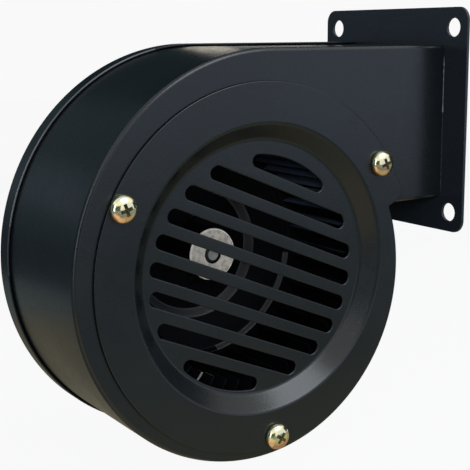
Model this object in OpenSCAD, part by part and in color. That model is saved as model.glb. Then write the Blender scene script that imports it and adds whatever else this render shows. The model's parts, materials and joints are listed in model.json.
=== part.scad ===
// Single-inlet centrifugal fan: a pressed-steel scroll with a slotted inlet cover and a square
// outlet flange, a forward-curved blower wheel inside, and an induction motor on the back.
// Millimetres, +Z up. The origin is the centre of the outlet face, +X is the way the air leaves,
// and -Y is the inlet side. The fan's axis runs along Y.

/* [Outlet flange] */
// Width of the flange around the taller side of the duct
flange_margin = 12; // [11:0.5:20]
// Thickness of the flange plate
flange_t = 1.2; // [1:0.1:3]
// Radius of the flange's corners
flange_corner_r = 5; // [2:0.5:7]
// Diameter of the flange holes
flange_hole_d = 7; // [4:0.1:8]
// Distance from a hole's centre to the flange's edge
flange_hole_edge = 7.5; // [6.5:0.1:7.8]

/* [Scroll housing] */
// Outer width of the housing, from its front face to its back face
housing_w = 61; // [52:0.1:75]
// Outer height of the outlet duct
duct_h = 58.2; // [54:0.1:66]
// Distance from the middle of the flange down to the middle of the duct
duct_drop = 0.6; // [0:0.1:1.5]
// Sheet thickness of the housing and of the inlet cover
sheet_t = 1; // [0.8:0.05:1.3]
// Outer radius of the scroll's smallest quarter
scroll_r = 64.3; // [60:0.1:80]
// Growth of the scroll's radius from one quarter to the next
scroll_step = 5.9; // [4:0.1:8]
// Height of the fan's axis above the middle of the scroll's construction square
axis_rise = 1.75; // [0:0.05:2.5]
// Distance from the fan's axis to the outlet face
axis_to_outlet = 83.5; // [80:0.5:120]
// Outer radius of the rounded front edge
pan_edge_r = 1.5; // [1.4:0.1:4]
// Gap between the back plate's lip and the wall inside it
lip_gap = 0.3; // [0.2:0.05:1]
// Depth of the back plate's lip
lip_depth = 6.4; // [4:0.1:10]
// Length of the tabs that the back plate is screwed to
tab_len = 10; // [9:0.5:12]
// Width of those tabs
tab_w = 12; // [9:0.5:16]

/* [Inlet cover] */
// Radial gap between the blower wheel and the housing's inlet opening
inlet_gap = 4.5; // [3:0.1:6]
// Overlap of the cover on the housing's face
cover_overlap = 10.8; // [10:0.1:13]
// Radial gap between the inlet opening and the start of the cover's dished ring
bezel_gap = 2.9; // [2:0.1:4]
// Radial width of the dished ring
bezel_w = 7.3; // [5:0.1:9]
// Depth of the slotted panel below the cover's face
bezel_depth = 5.5; // [3:0.1:7]
// Solid margin around the slots
slot_margin = 2.7; // [2.3:0.1:5]
// Number of slots
slot_count = 9; // [5:1:9]
// Distance from slot to slot
slot_pitch = 9.5; // [8.5:0.02:10]
// Width of a slot
slot_w = 5.2; // [3:0.1:6]
// Tilt of the slots from level
slot_tilt = -22.6; // [-45:0.1:45]
// Radius of the slots' corners
slot_corner_r = 2.3; // [0.8:0.1:2.4]
// Offset of the slots' field from the axis, along X
slot_shift_x = -0.9; // [-1:0.05:1]
// Offset of the slots' field from the axis, along Z
slot_shift_z = -1.95; // [-2:0.05:1]
// Distance of the cover's screws from the inlet opening's edge
cover_screw_inset = 6.3; // [5.5:0.1:7.5]
// Angle of the first cover screw from level
cover_screw_angle = 34; // [25:1:40]
// Thread diameter of the cover's screws
cover_screw_d = 5; // [4:0.5:5]

/* [Blower wheel] */
// Radial gap between the wheel and the scroll's smallest quarter, measured to its outside
tongue_gap = 13.4; // [11:0.1:18]
// Radial depth of the blades
blade_depth = 9.5; // [7:0.1:13]
// Number of blades
blade_count = 48; // [24:2:56]
// Radius of a blade's curve
blade_curve_r = 10; // [9:0.1:16]
// Sheet thickness of the wheel
wheel_t = 0.8; // [0.5:0.05:1.2]
// Width of the wheel's front ring
wheel_ring_w = 4; // [3:0.1:6.5]
// Gap between the slotted panel and the wheel's front ring
wheel_front_gap = 2.5; // [1.5:0.1:5]
// Gap between the hub's flange and the back plate
hub_back_gap = 6.2; // [2:0.1:8]
// Diameter of the hub
hub_d = 19.8; // [16:0.1:22]
// Length of the hub in front of its flange
hub_len = 17; // [12:0.1:20]
// Radius of the dish in the wheel's back plate
dish_r = 27; // [24:0.1:29]
// Depth of that dish
dish_depth = 2.5; // [1.5:0.1:4]
// Rise of the back plate from the dish to the blades
web_rise = 3; // [1:0.1:5]
// Height of the step at the blades' roots
root_step = 2; // [1:0.1:3]

/* [Motor] */
// Outer radius of the motor's end bells
motor_r = 42; // [41:0.5:50]
// Length of the motor
motor_len = 75; // [70:1:95]
// Length of the stator's core
core_len = 30; // [20:1:32]
// Outer radius of the rotor
rotor_r = 20.7; // [19:0.1:22]
// Gap between rotor and stator
air_gap = 0.3; // [0.2:0.05:0.5]
// Diameter of the shaft at the wheel
shaft_d = 6; // [5:0.5:7]
// Thickness of the gasket between motor and housing
gasket_t = 1.5; // [1:0.1:3]
// Radius of the circle of mounting screws
mount_screw_r = 30; // [29:0.5:31]

/* [Terminal box] */
// Width of the box, across the motor
box_w = 46; // [44:1:54]
// Length of the box, along the motor
box_len = 48; // [46:1:49]
// Height of the box above the motor's case
box_h = 22; // [21:0.5:30]
// Wall thickness of the box
box_t = 2; // [1.5:0.1:2.5]
// Thread diameter of the cable gland
gland_d = 12; // [10:0.5:12]

/* [Hidden] */
$fn = 48;

// A little more than a cut needs
cut = 1;
// Radial clearance of a piece that slides into its seat
seat_gap = 0.02;
// Radial clearance of a screw in its thread
thread_gap = 0.05;
// Radial clearance of a screw in a plain hole
hole_gap = 0.2;

// Housing: the scroll is three tangent quarters about the corners of a small square
fan_x = -axis_to_outlet;
duct_top = duct_h / 2 - duct_drop;
duct_floor = duct_top - duct_h;
scroll_z = duct_top - scroll_r - 2.5 * scroll_step;
fan_z = scroll_z + axis_rise;
front_y = -housing_w / 2;
back_y = housing_w / 2;
plate_y = back_y - sheet_t;
low_centre = [fan_x - scroll_step / 2, scroll_z - scroll_step / 2];
side_centre = low_centre + [0, scroll_step];
top_centre = side_centre + [scroll_step, 0];
low_r = scroll_r;
side_r = low_r + scroll_step;
top_r = side_r + scroll_step;
duct_end_x = -flange_t;
lip_grow = lip_gap + sheet_t;
flange_size = max(duct_h, housing_w) + 2 * flange_margin;
flange_hole_pitch = flange_size - 2 * flange_hole_edge;

// Wheel and inlet, from the scroll inwards
impeller_r = scroll_r - tongue_gap;
blade_in_r = impeller_r - blade_depth;
inlet_r = impeller_r + inlet_gap;
bezel_r = inlet_r - bezel_gap;
panel_r = bezel_r - bezel_w;
slot_field_r = panel_r - slot_margin;
end_slot_reach = slot_w / 2;
cover_r = inlet_r + cover_overlap;
cover_screw_r = inlet_r + cover_screw_inset;
cover_y = front_y - sheet_t;
panel_y = cover_y + bezel_depth;
ring_lap = 1;
wheel_front_y = panel_y + sheet_t + wheel_front_gap;
hub_flange_t = 2;
hub_flange_w = 5;
hub_flange_r = hub_d / 2 + hub_flange_w;
hub_end_y = plate_y - hub_back_gap;
dish_y = hub_end_y - hub_flange_t - wheel_t;
dish_slope = 2.5;
root_slope = 1.3;
root_r = blade_in_r - 0.2;
blade_back_y = dish_y - dish_depth - web_rise - root_step;
blade_front_y = wheel_front_y + wheel_t;
blade_w = blade_back_y - blade_front_y;
hub_face_y = dish_y + wheel_t - hub_len;
grub_inset = 6;
grub_y = hub_face_y + grub_inset;
hub_sink = 0.6;
hub_sink_w = 0.4;
grub_d = 4;
rivet_d = 2.5;
rivet_r = (hub_d / 2 + hub_flange_r) / 2;

// A blade is an arc that starts radially at the wheel's inner radius and ends at its outer one
blade_a = 2 * blade_in_r * blade_curve_r;
blade_b = 2 * blade_curve_r * blade_curve_r;
blade_tip_r = impeller_r - wheel_t / 2;
blade_c = blade_tip_r * blade_tip_r - blade_in_r * blade_in_r;
blade_turn = asin((blade_c - blade_b) / norm([blade_a, blade_b])) + atan2(blade_b, blade_a);

// Screws: M5 with 9.5 mm heads, M4 with 8 mm heads and M3 with 5.6 mm heads
small_d = 4;
small_head_d = 8;
small_head_h = 2.8;
tiny_d = 3;
tiny_head_d = 5.6;
tiny_head_h = 2.2;
cover_head_d = 1.9 * cover_screw_d;
cover_head_h = 0.74 * cover_screw_d;
cover_screw_len = 9;
collar_wall = 1.3;
collar_len = 2.5;
back_screw_len = 6;
lid_screw_len = 8;
lid_hole_len = 10;
earth_screw_len = 7;
earth_washer_t = 1;

// Back plate tabs: the centre, wall radius and direction of those on the scroll
scroll_tabs = [[top_centre, top_r, 135], [side_centre, side_r, 225], [low_centre, low_r, -45]];
duct_tab_gap = 12;
duct_tab_inset = duct_tab_gap + tab_w / 2;
duct_tab_x = [fan_x / 2, duct_end_x - duct_tab_inset];
tab_screw_inset = sheet_t + tab_len / 2;

// Motor, from the housing's back face to the rear
bell_y = back_y + gasket_t;
bell_floor = 4;
bell_depth = 12;
rabbet = 3;
motor_end_y = bell_y + motor_len;
case_r = motor_r - 2;
case_t = 1;
case_in_r = case_r - case_t;
case_y = bell_y + bell_depth - rabbet;
case_len = motor_len - 2 * (bell_depth - rabbet);
bell_lap = 1;
bell_in_r = case_in_r - bell_lap;
bolt_inset = 2.5;
bolt_r = bell_in_r - bolt_inset;
bolt_boss_r = 3.5;
mount_hole_over = 5;
bolt_hole_floor = 2;
mount_screw_over = 3;
bolt_boss_len = bell_depth - rabbet - bell_floor - 0.5;
pilot_r = 15.7;
pilot_gap = 0.3;
core_y = bell_y + (motor_len - core_len) / 2;
core_r = case_in_r - seat_gap;
bore_r = rotor_r + air_gap;
winding_over = 8;
winding_in_r = bore_r + 2;
winding_out_r = bolt_r - 3;
slot_n = 16;
stator_slot_w = 5;
stator_slot_in = bore_r + 1.2;
stator_slot_out = winding_out_r - 1.5;
tooth_mouth = 1.6;
liner_gap = 0.3;
bar_low_r = winding_in_r + 0.6;
bar_in = 2;
end_ring_t = 3;
end_ring_in_r = 12;
end_ring_r = rotor_r - 0.5;
paddle_len = 5;
paddle_t = 1.5;
paddle_n = 8;

// Bearings: 8 mm bore, 22 mm outside, 7 mm wide
bearing_in_r = 4;
bearing_out_r = 11;
bearing_w = 7;
bearing_pitch_r = 7.5;
ball_r = 1.98;
ball_n = 7;
groove_r = ball_r + 0.07;
inner_ring_r = 6;
outer_ring_r = 9;
cage_in_r = 6.8;
cage_out_r = 8.2;
cage_w = 5.6;
pocket_r = ball_r + 0.17;
boss_r = bearing_out_r + 3.5;
bearing_inset = 6;
front_bearing_y = bell_y + bearing_inset;
washer_t = 1.2;
rear_floor_y = motor_end_y - bell_floor;
rear_bearing_y = rear_floor_y - washer_t - bearing_w;
boss_over = 0.5;
front_bore_r = 8.5;
seal_len = 4;
seal_inset = 1;
seal_gap = 0.3;

// Shaft
journal_r = bearing_in_r - 0.01;
rotor_shaft_r = 5;
shaft_nose = 0.3;
shaft_chamfer = 0.8;
shaft_y = hub_face_y - shaft_nose;
journal_y = hub_end_y + 1;
shoulder_y = front_bearing_y + bearing_w;
shaft_recess_r = 7;
shaft_recess = 2;
shaft_end_y = rear_floor_y + 0.6;
clip_t = 0.95;
clip_r = 6.2;
clip_groove_r = 3.6;
clip_gap_angle = 50;

// Terminal box, on top of the motor's case
box_gap = 1.5;
box_y = bell_y + bell_depth + box_gap;
box_floor_z = fan_z + case_r + 3;
box_top_z = fan_z + case_r + box_h;
saddle_h = 8;
box_low_z = fan_z + case_r - saddle_h;
lid_t = 2;
post_r = 3.2;
post_lap = 0.6;
post_x = box_w / 2 - box_t - post_r + post_lap;
post_y = box_len / 2 - box_t - post_r + post_lap;
box_mid_y = box_y + box_len / 2;
box_in_x = box_w / 2 - box_t;
box_screw_gap = 0.3;
box_screw_in = box_t + small_head_d / 2 + box_screw_gap;
front_screw_inset = 11;
rear_screw_inset = small_head_d / 2 + 1.5;
front_box_screw = [box_in_x - front_screw_inset, box_y + box_screw_in];
rear_box_screw = [box_in_x - rear_screw_inset, box_y + box_len - box_screw_in];
block_size = [16, 10, 9];
block_gap = 2;
block_x = -box_in_x + block_size[0] / 2 + block_gap;
block_y = box_y + box_t + (block_size[1] + block_gap) / 2;
block_lift = 3;
grommet_hole_r = 2.8;
grommet_bore_r = 2.1;
grommet_x = block_x;
grommet_y = core_y - grommet_hole_r - 0.6;
wire_d = 1.2;
wire_pitch = 1.3;
wire_gap = 0.3;
capacitor_r = 7;
capacitor_gap = 1.5;
capacitor_low_x = -box_in_x + 2 * post_r + post_lap;
capacitor_high_x = rear_box_screw[0] - small_head_d / 2 - capacitor_gap;
capacitor_len = capacitor_high_x - capacitor_low_x;
capacitor_y = box_y + box_len - box_t - capacitor_r - 0.5;
gland_y = box_mid_y - 3;
gland_z = (box_floor_z + box_top_z) / 2;
gland_hex = 1.5 * gland_d;
gland_hex_t = 5;
gland_thread = 8;
gland_bore_r = gland_d / 3;
locknut_hex = 1.3 * gland_d;
locknut_t = 4;
gland_nut_len = 12;
gland_nut_r = gland_hex / 2;
earth_angle = 285;
earth_r = impeller_r + 5;
washer_over = 1.5;

// Places children on the fan's axis at y, with their own z along +Y
module on_axis(y) {
    translate([fan_x, y, fan_z]) rotate([-90, 0, 0]) children();
}

// Places children beside the fan's axis, at an angle from level and a distance, facing +Y
module beside_axis(y, angle, distance) {
    translate([fan_x + distance * cos(angle), y, fan_z + distance * sin(angle)])
        rotate([-90, 0, 0]) children();
}

// Extrudes a flat outline in the XZ plane from y backwards
module slab(y, thickness) {
    translate([0, y + thickness, 0]) rotate([90, 0, 0]) linear_extrude(thickness) children();
}

// Sweeps a section around a scroll centre; its x is the radius and its y points to the front
module sweep(centre, start, angle) {
    translate([centre[0], 0, centre[1]]) rotate([90, 0, 0])
        rotate_extrude(angle = angle, start = start) children();
}

// Turns children about the fan's axis from the motor's top to its outlet side
module on_motor_side() {
    translate([fan_x, 0, fan_z]) rotate([0, 90, 0]) translate([-fan_x, 0, -fan_z]) children();
}

module tube(y, length, inner_r, outer_r) {
    on_axis(y) difference() {
        cylinder(r = outer_r, h = length);
        translate([0, 0, -cut]) cylinder(r = inner_r, h = length + 2 * cut);
    }
}

// Part of a disc in one quarter or half of the plane
module sector(centre, radius, low, size) {
    translate(centre) intersection() {
        circle(r = radius);
        translate(low * 2 * radius) square(size * 2 * radius);
    }
}

// The scroll and duct seen from the front, grown outwards by an amount
module outline(grow) {
    sector(low_centre, low_r + grow, [0, -1], [1, 2]);
    sector(side_centre, side_r + grow, [-1, -1], [1, 1]);
    sector(top_centre, top_r + grow, [-1, 0], [1, 1]);
    translate([top_centre[0], duct_floor - grow])
        square([duct_end_x - top_centre[0], duct_h + 2 * grow]);
}

// Half of the housing's section: a rectangle with its front outer corner rounded
module block_section(radius, inset, low) {
    edge = pan_edge_r - inset;
    high = -front_y - inset;
    translate([0, low]) square([radius - edge, high - low]);
    translate([0, low]) square([radius, high - edge - low]);
    translate([radius - edge, high - edge]) circle(r = edge);
}

// The housing's solid form with a rounded front edge, shrunk by an inset and cut off at depth
module block(inset, depth, end_x) {
    edge = pan_edge_r - inset;
    sweep(low_centre, -90, 180) block_section(low_r - inset, inset, -depth);
    sweep(side_centre, 180, 90) block_section(side_r - inset, inset, -depth);
    sweep(top_centre, 90, 90) block_section(top_r - inset, inset, -depth);
    translate([top_centre[0], 0, 0]) rotate([90, 0, 90]) linear_extrude(end_x - top_centre[0])
        duct_section(inset, depth);
}

// The duct's section across the flow, with both front corners rounded
module duct_section(inset, depth) {
    edge = pan_edge_r - inset;
    near = front_y + inset;
    low = duct_floor + inset;
    high = duct_top - inset;
    translate([near + edge, low]) square([depth - near - edge, high - low]);
    translate([near, low + edge]) square([edge + cut, high - low - 2 * edge]);
    for (z = [low + edge, high - edge]) translate([near + edge, z]) circle(r = edge);
}

// Children at each back plate tab on the scroll, and at each one in the duct
module at_scroll_tabs() {
    for (tab = scroll_tabs) translate(tab[0]) rotate(tab[2]) translate([tab[1], 0]) children();
}

module at_duct_tabs() {
    translate([duct_tab_x[0], duct_top]) rotate(90) children();
    translate([duct_tab_x[1], duct_floor]) rotate(-90) children();
}

module tab() {
    translate([-sheet_t - tab_len, -tab_w / 2]) square([tab_len + sheet_t / 2, tab_w]);
}

module tab_hole(radius) {
    translate([-tab_screw_inset, 0]) circle(r = radius);
}

// A round-headed cross-recess screw; its seat is at z = 0 and its shank runs up
module pan_screw(d, head_d, head_h, length) {
    dome = 0.6 * head_h;
    dome_r = (head_d * head_d / 4 + dome * dome) / (2 * dome);
    recess_w = 0.13 * head_d;
    recess_len = 0.55 * head_d;
    recess_h = 0.5 * head_h;
    difference() {
        intersection() {
            translate([0, 0, -head_h]) cylinder(r = head_d / 2, h = head_h);
            translate([0, 0, dome_r - head_h]) sphere(r = dome_r);
        }
        for (turn = [0, 90]) rotate(turn)
            translate([-recess_len / 2, -recess_w / 2, -head_h - cut])
                cube([recess_len, recess_w, recess_h + cut]);
    }
    cylinder(r = d / 2, h = length);
}

module at_cover_screws(y) {
    for (k = [0 : 2]) beside_axis(y, cover_screw_angle + 120 * k, cover_screw_r) children();
}

module at_mount_screws(y) {
    for (k = [0 : 3]) beside_axis(y, 45 + 90 * k, mount_screw_r) children();
}

module at_bolts(y) {
    for (k = [0 : 3]) beside_axis(y, 90 * k, bolt_r) children();
}

module front_housing() color("#2c3036") difference() {
    union() {
        difference() {
            block(0, plate_y, duct_end_x);
            block(sheet_t, plate_y + cut, duct_end_x + cut);
        }
        slab(plate_y - sheet_t, sheet_t) {
            at_scroll_tabs() tab();
            at_duct_tabs() tab();
        }
        at_cover_screws(front_y + sheet_t / 2)
            cylinder(r = cover_screw_d / 2 + collar_wall, h = collar_len + sheet_t / 2);
    }
    on_axis(front_y - cut) cylinder(r = inlet_r, h = sheet_t + 2 * cut);
    at_cover_screws(front_y - cut)
        cylinder(r = cover_screw_d / 2 + thread_gap, h = collar_len + sheet_t + 2 * cut);
    slab(plate_y - sheet_t - cut, sheet_t + 2 * cut) {
        at_scroll_tabs() tab_hole(small_d / 2 + thread_gap);
        at_duct_tabs() tab_hole(small_d / 2 + thread_gap);
    }
}

module rear_housing() color("#25292e") difference() {
    union() {
        slab(plate_y, sheet_t) outline(lip_grow);
        difference() {
            slab(back_y - lip_depth, lip_depth) outline(lip_grow);
            slab(back_y - lip_depth - cut, lip_depth + 2 * cut) {
                outline(lip_gap);
                translate([duct_end_x - cut, duct_floor - lip_gap])
                    square([2 * cut, duct_h + 2 * lip_gap]);
            }
        }
    }
    on_axis(plate_y - cut) cylinder(r = pilot_r + pilot_gap, h = sheet_t + 2 * cut);
    at_mount_screws(plate_y - cut) cylinder(r = small_d / 2 + hole_gap, h = sheet_t + 2 * cut);
    beside_axis(plate_y - cut, earth_angle, earth_r)
        cylinder(r = small_d / 2 + thread_gap, h = sheet_t + 2 * cut);
    slab(plate_y - cut, sheet_t + 2 * cut) {
        at_scroll_tabs() tab_hole(small_d / 2 + hole_gap);
        at_duct_tabs() tab_hole(small_d / 2 + hole_gap);
    }
}

module outlet_flange() color("#22262b") rotate([90, 0, 90]) translate([0, 0, -flange_t])
    linear_extrude(flange_t) difference() {
        union() {
            square([flange_size, flange_size - 2 * flange_corner_r], center = true);
            square([flange_size - 2 * flange_corner_r, flange_size], center = true);
            for (x = [-1, 1], y = [-1, 1])
                translate([x, y] * (flange_size / 2 - flange_corner_r)) circle(r = flange_corner_r);
        }
        duct_section(sheet_t, plate_y);
        for (x = [-1, 1], y = [-1, 1])
            translate([x, y] * flange_hole_pitch / 2) circle(d = flange_hole_d);
    }

// One of the slots, cut short by the edge of their field and rounded at its corners; the first and
// the last reach further out, so that the field's edge bounds them
module slot(k) {
    low = (k - (slot_count - 1) / 2) * slot_pitch - slot_w / 2;
    below = k == 0 ? end_slot_reach : 0;
    above = k == slot_count - 1 ? end_slot_reach : 0;
    offset(r = slot_corner_r) offset(delta = -slot_corner_r) intersection() {
        circle(r = slot_field_r);
        translate([-slot_field_r, low - below]) square([2 * slot_field_r, slot_w + below + above]);
    }
}

// Depth of the dished ring below the cover's face, from 0 at its rim to 1 at the panel
function dish(share) = share * share * (3 - 2 * share);

module inlet_grille() color("#2e3238") {
    steps = 12;
    curve = [for (k = [0 : steps]) [bezel_r - bezel_w * k / steps, bezel_depth * dish(k / steps)]];
    ring = concat([[bezel_r + ring_lap, 0]], curve, [[panel_r - ring_lap, bezel_depth]]);
    back = [for (k = [len(ring) - 1 : -1 : 0]) ring[k] + [0, sheet_t]];
    difference() {
        union() {
            slab(cover_y, sheet_t) difference() {
                intersection() {
                    translate([fan_x, fan_z]) circle(r = cover_r);
                    outline(-pan_edge_r);
                }
                translate([fan_x, fan_z]) circle(r = bezel_r);
            }
            on_axis(cover_y) rotate_extrude() polygon(concat(ring, back));
            on_axis(panel_y) cylinder(r = panel_r, h = sheet_t);
        }
        at_cover_screws(cover_y - cut) cylinder(r = cover_screw_d / 2 + hole_gap, h = sheet_t + 2 * cut);
        slab(panel_y - cut, sheet_t + 2 * cut)
            translate([fan_x + slot_shift_x, fan_z + slot_shift_z]) rotate(slot_tilt)
                for (k = [0 : slot_count - 1]) slot(k, $fn = 32);
    }
}

module grille_screws() color("#e0c98a") at_cover_screws(cover_y)
    pan_screw(cover_screw_d, cover_head_d, cover_head_h, cover_screw_len);

module back_plate_screws() color("#8d9094") {
    for (tab = scroll_tabs) translate([tab[0][0], back_y, tab[0][1]]) rotate([0, -tab[2], 0])
        translate([tab[1] - tab_screw_inset, 0, 0]) back_screw();
    translate([duct_tab_x[0], back_y, duct_top - tab_screw_inset]) back_screw();
    translate([duct_tab_x[1], back_y, duct_floor + tab_screw_inset]) back_screw();
}

module back_screw() {
    rotate([90, 0, 0]) pan_screw(small_d, small_head_d, small_head_h, back_screw_len);
}

module impeller_front_ring() color("#3a3d40")
    tube(wheel_front_y, wheel_t, impeller_r - wheel_ring_w, impeller_r);

module impeller_blades() color("#43464a") on_axis(blade_front_y) for (k = [0 : blade_count - 1])
    rotate(360 / blade_count * k) translate([blade_in_r, blade_curve_r, 0])
        rotate_extrude(angle = blade_turn, start = -90)
            translate([blade_curve_r - wheel_t / 2, 0]) square([wheel_t, blade_w]);

// The pressed back plate: a dish in the middle, a sloping web and a step at the blades
module impeller_back_plate() color("#3a3d40") {
    hub_hole_r = hub_d / 2 + seat_gap;
    web_y = -dish_depth;
    step_y = web_y - web_rise;
    rim_y = step_y - root_step;
    face = [
        [hub_hole_r, 0], [dish_r - dish_slope, 0], [dish_r, web_y],
        [root_r - root_slope, step_y], [root_r, rim_y], [impeller_r, rim_y]
    ];
    back = [for (k = [len(face) - 1 : -1 : 0]) face[k] + [0, wheel_t]];
    difference() {
        on_axis(dish_y) rotate_extrude() polygon(concat(face, back));
        at_rivets(dish_y - cut) cylinder(d = rivet_d + 2 * thread_gap, h = wheel_t + 2 * cut);
    }
}

module at_rivets(y) {
    for (k = [0 : 5]) beside_axis(y, 30 + 60 * k, rivet_r) children();
}

module impeller_hub() color("#b9b4a8") difference() {
    union() {
        on_axis(hub_face_y) cylinder(d = hub_d, h = hub_len);
        on_axis(hub_end_y - hub_flange_t) cylinder(r = hub_flange_r, h = hub_flange_t);
    }
    on_axis(hub_face_y - cut) cylinder(d = shaft_d + 2 * seat_gap, h = hub_len + hub_flange_t + 2 * cut);
    on_axis(hub_face_y - cut) cylinder(d = shaft_d + 2 * hub_sink_w, h = hub_sink + cut);
    translate([fan_x, grub_y, fan_z - hub_d]) cylinder(d = grub_d + 2 * thread_gap, h = 2 * hub_d);
    at_rivets(hub_end_y - hub_flange_t - cut)
        cylinder(d = rivet_d + 2 * thread_gap, h = hub_flange_t + 2 * cut);
}

module impeller_rivets() color("#6d7074") {
    head_h = 0.8;
    at_rivets(dish_y) {
        cylinder(d = rivet_d, h = wheel_t + hub_flange_t);
        translate([0, 0, -head_h]) cylinder(d = 1.8 * rivet_d, h = head_h);
    }
    at_rivets(hub_end_y) cylinder(d = 1.6 * rivet_d, h = head_h);
}

module hub_grub_screws() color("#2b2b2c") {
    length = (hub_d - shaft_d) / 2 - 0.6;
    for (side = [0, 180]) translate([fan_x, grub_y, fan_z]) rotate([0, side, 0]) difference() {
        translate([0, 0, shaft_d / 2 + seat_gap]) cylinder(d = grub_d, h = length);
        translate([0, 0, shaft_d / 2 + length - 2]) cylinder(d = grub_d / 2, h = 2 + cut, $fn = 6);
    }
}

module motor_shaft() color("#a9abab") difference() {
    union() {
        on_axis(shaft_y) {
            cylinder(r1 = shaft_d / 2 - shaft_chamfer, r2 = shaft_d / 2, h = shaft_chamfer);
            translate([0, 0, shaft_chamfer]) cylinder(d = shaft_d, h = journal_y - shaft_y - shaft_chamfer);
        }
        on_axis(journal_y) cylinder(r = journal_r, h = shaft_end_y - journal_y);
        on_axis(shoulder_y) cylinder(r = rotor_shaft_r, h = rear_bearing_y - shoulder_y);
    }
    tube(front_bearing_y - clip_t, clip_t, clip_groove_r, clip_r);
    tube(rear_bearing_y + bearing_w, clip_t, clip_groove_r, clip_r);
}

module clip(y, turn) {
    on_axis(y) difference() {
        cylinder(r = clip_r, h = clip_t);
        translate([0, 0, -cut]) cylinder(r = clip_groove_r + seat_gap, h = clip_t + 2 * cut);
        rotate(turn - clip_gap_angle / 2) rotate_extrude(angle = clip_gap_angle)
            translate([clip_groove_r / 2, -cut]) square([clip_r, clip_t + 2 * cut]);
    }
}

module shaft_circlips() color("#55585c") {
    clip(front_bearing_y - clip_t, 0);
    clip(rear_bearing_y + bearing_w, 180);
}

module shaft_seal() color("#b5a98c")
    tube(plate_y + seal_inset, seal_len, journal_r + seal_gap, front_bore_r - thread_gap);

module motor_gasket() color("#54504a") difference() {
    tube(back_y, gasket_t, pilot_r + pilot_gap, motor_r - 1);
    at_mount_screws(back_y - cut) cylinder(r = small_d / 2 + hole_gap, h = gasket_t + 2 * cut);
}

module motor_mount_screws() color("#9a9c9e") at_mount_screws(plate_y)
    pan_screw(
        small_d, small_head_d, small_head_h, sheet_t + gasket_t + bell_floor + mount_screw_over
    );

// The wall and rim that both end bells share, with the floor at z = 0 and the rim running up
module bell() {
    difference() {
        cylinder(r = motor_r, h = bell_depth);
        translate([0, 0, bell_floor]) cylinder(r = bell_in_r, h = bell_depth);
        translate([0, 0, bell_depth - rabbet]) cylinder(r = case_r + thread_gap, h = rabbet + cut);
    }
}

module motor_front_bell() color("#9fa2a4") difference() {
    union() {
        on_axis(bell_y) bell();
        on_axis(plate_y) cylinder(r = pilot_r, h = bell_y - plate_y + bell_floor);
        on_axis(bell_y) cylinder(r = boss_r, h = front_bearing_y + bearing_w + boss_over - bell_y);
        at_bolts(bell_y) cylinder(r = bolt_boss_r, h = bell_floor + bolt_boss_len);
        at_mount_screws(bell_y) cylinder(r = bolt_boss_r, h = bell_floor + bolt_boss_len);
    }
    on_axis(plate_y - cut) cylinder(r = front_bore_r, h = front_bearing_y - plate_y + 2 * cut);
    on_axis(front_bearing_y) cylinder(r = bearing_out_r + seat_gap, h = bearing_w + boss_over + cut);
    at_bolts(bell_y + bolt_hole_floor)
        cylinder(r = small_d / 2 + thread_gap, h = bell_floor + bolt_boss_len);
    at_mount_screws(bell_y - cut)
        cylinder(r = small_d / 2 + thread_gap, h = bell_floor + mount_hole_over + cut);
}

module motor_case() color("#2a2d31") difference() {
    tube(case_y, case_len, case_in_r, case_r);
    on_motor_side() {
        translate([fan_x + grommet_x, grommet_y, fan_z]) cylinder(r = grommet_hole_r, h = motor_r);
        at_box_screws(fan_z) cylinder(r = small_d / 2 + thread_gap, h = motor_r);
    }
}

module at_box_screws(z) {
    for (spot = [front_box_screw, rear_box_screw]) translate([fan_x + spot[0], spot[1], z])
        children();
}

module motor_rear_bell() color("#9fa2a4") difference() {
    vent_w = 4;
    vent_n = 12;
    vent_in = boss_r + 3;
    vent_len = bolt_r - 5 - vent_in;
    union() {
        on_axis(motor_end_y) mirror([0, 0, 1]) bell();
        on_axis(rear_bearing_y - boss_over) cylinder(r = boss_r, h = motor_end_y - rear_bearing_y);
        at_bolts(motor_end_y - bell_floor - bolt_boss_len)
            cylinder(r = bolt_boss_r, h = bell_floor + bolt_boss_len);
    }
    on_axis(rear_bearing_y - boss_over - cut)
        cylinder(r = bearing_out_r + seat_gap, h = boss_over + bearing_w + washer_t + cut);
    on_axis(rear_floor_y - cut) cylinder(r = shaft_recess_r, h = shaft_recess + cut);
    at_bolts(motor_end_y - bell_depth - cut) cylinder(r = small_d / 2 + hole_gap, h = bell_depth + 2 * cut);
    for (k = [0 : vent_n - 1]) on_axis(rear_floor_y - cut) rotate(360 / vent_n * (k + 0.5))
        translate([vent_in, -vent_w / 2, 0]) cube([vent_len, vent_w, bell_floor + 2 * cut]);
}

module motor_through_bolts() color("#8d9094") at_bolts(motor_end_y) rotate([180, 0, 0])
    pan_screw(small_d, small_head_d, small_head_h, motor_len - bell_floor);

module at_stator_slots() {
    for (k = [0 : slot_n - 1]) rotate(360 / slot_n * (k + 0.5)) children();
}

module stator_core() color("#77797b") difference() {
    tube(core_y, core_len, bore_r, core_r);
    on_axis(core_y - cut) at_stator_slots() {
        translate([stator_slot_in, -stator_slot_w / 2, 0])
            cube([stator_slot_out - stator_slot_in, stator_slot_w, core_len + 2 * cut]);
        translate([bore_r - cut, -tooth_mouth / 2, 0])
            cube([stator_slot_in - bore_r + 2 * cut, tooth_mouth, core_len + 2 * cut]);
    }
    at_bolts(core_y - cut) cylinder(r = small_d / 2 + hole_gap, h = core_len + 2 * cut);
}

module stator_windings() color("#b06a35") {
    tube(core_y - winding_over, winding_over, winding_in_r, winding_out_r);
    tube(core_y + core_len, winding_over, winding_in_r, winding_out_r);
    on_axis(core_y - bar_in) at_stator_slots()
        translate([bar_low_r, -stator_slot_w / 2 + liner_gap, 0])
            cube([
                stator_slot_out - liner_gap - bar_low_r,
                stator_slot_w - 2 * liner_gap, core_len + 2 * bar_in
            ]);
}

module rotor_core() color("#6f7173") tube(core_y, core_len, rotor_shaft_r + seat_gap, rotor_r);

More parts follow.
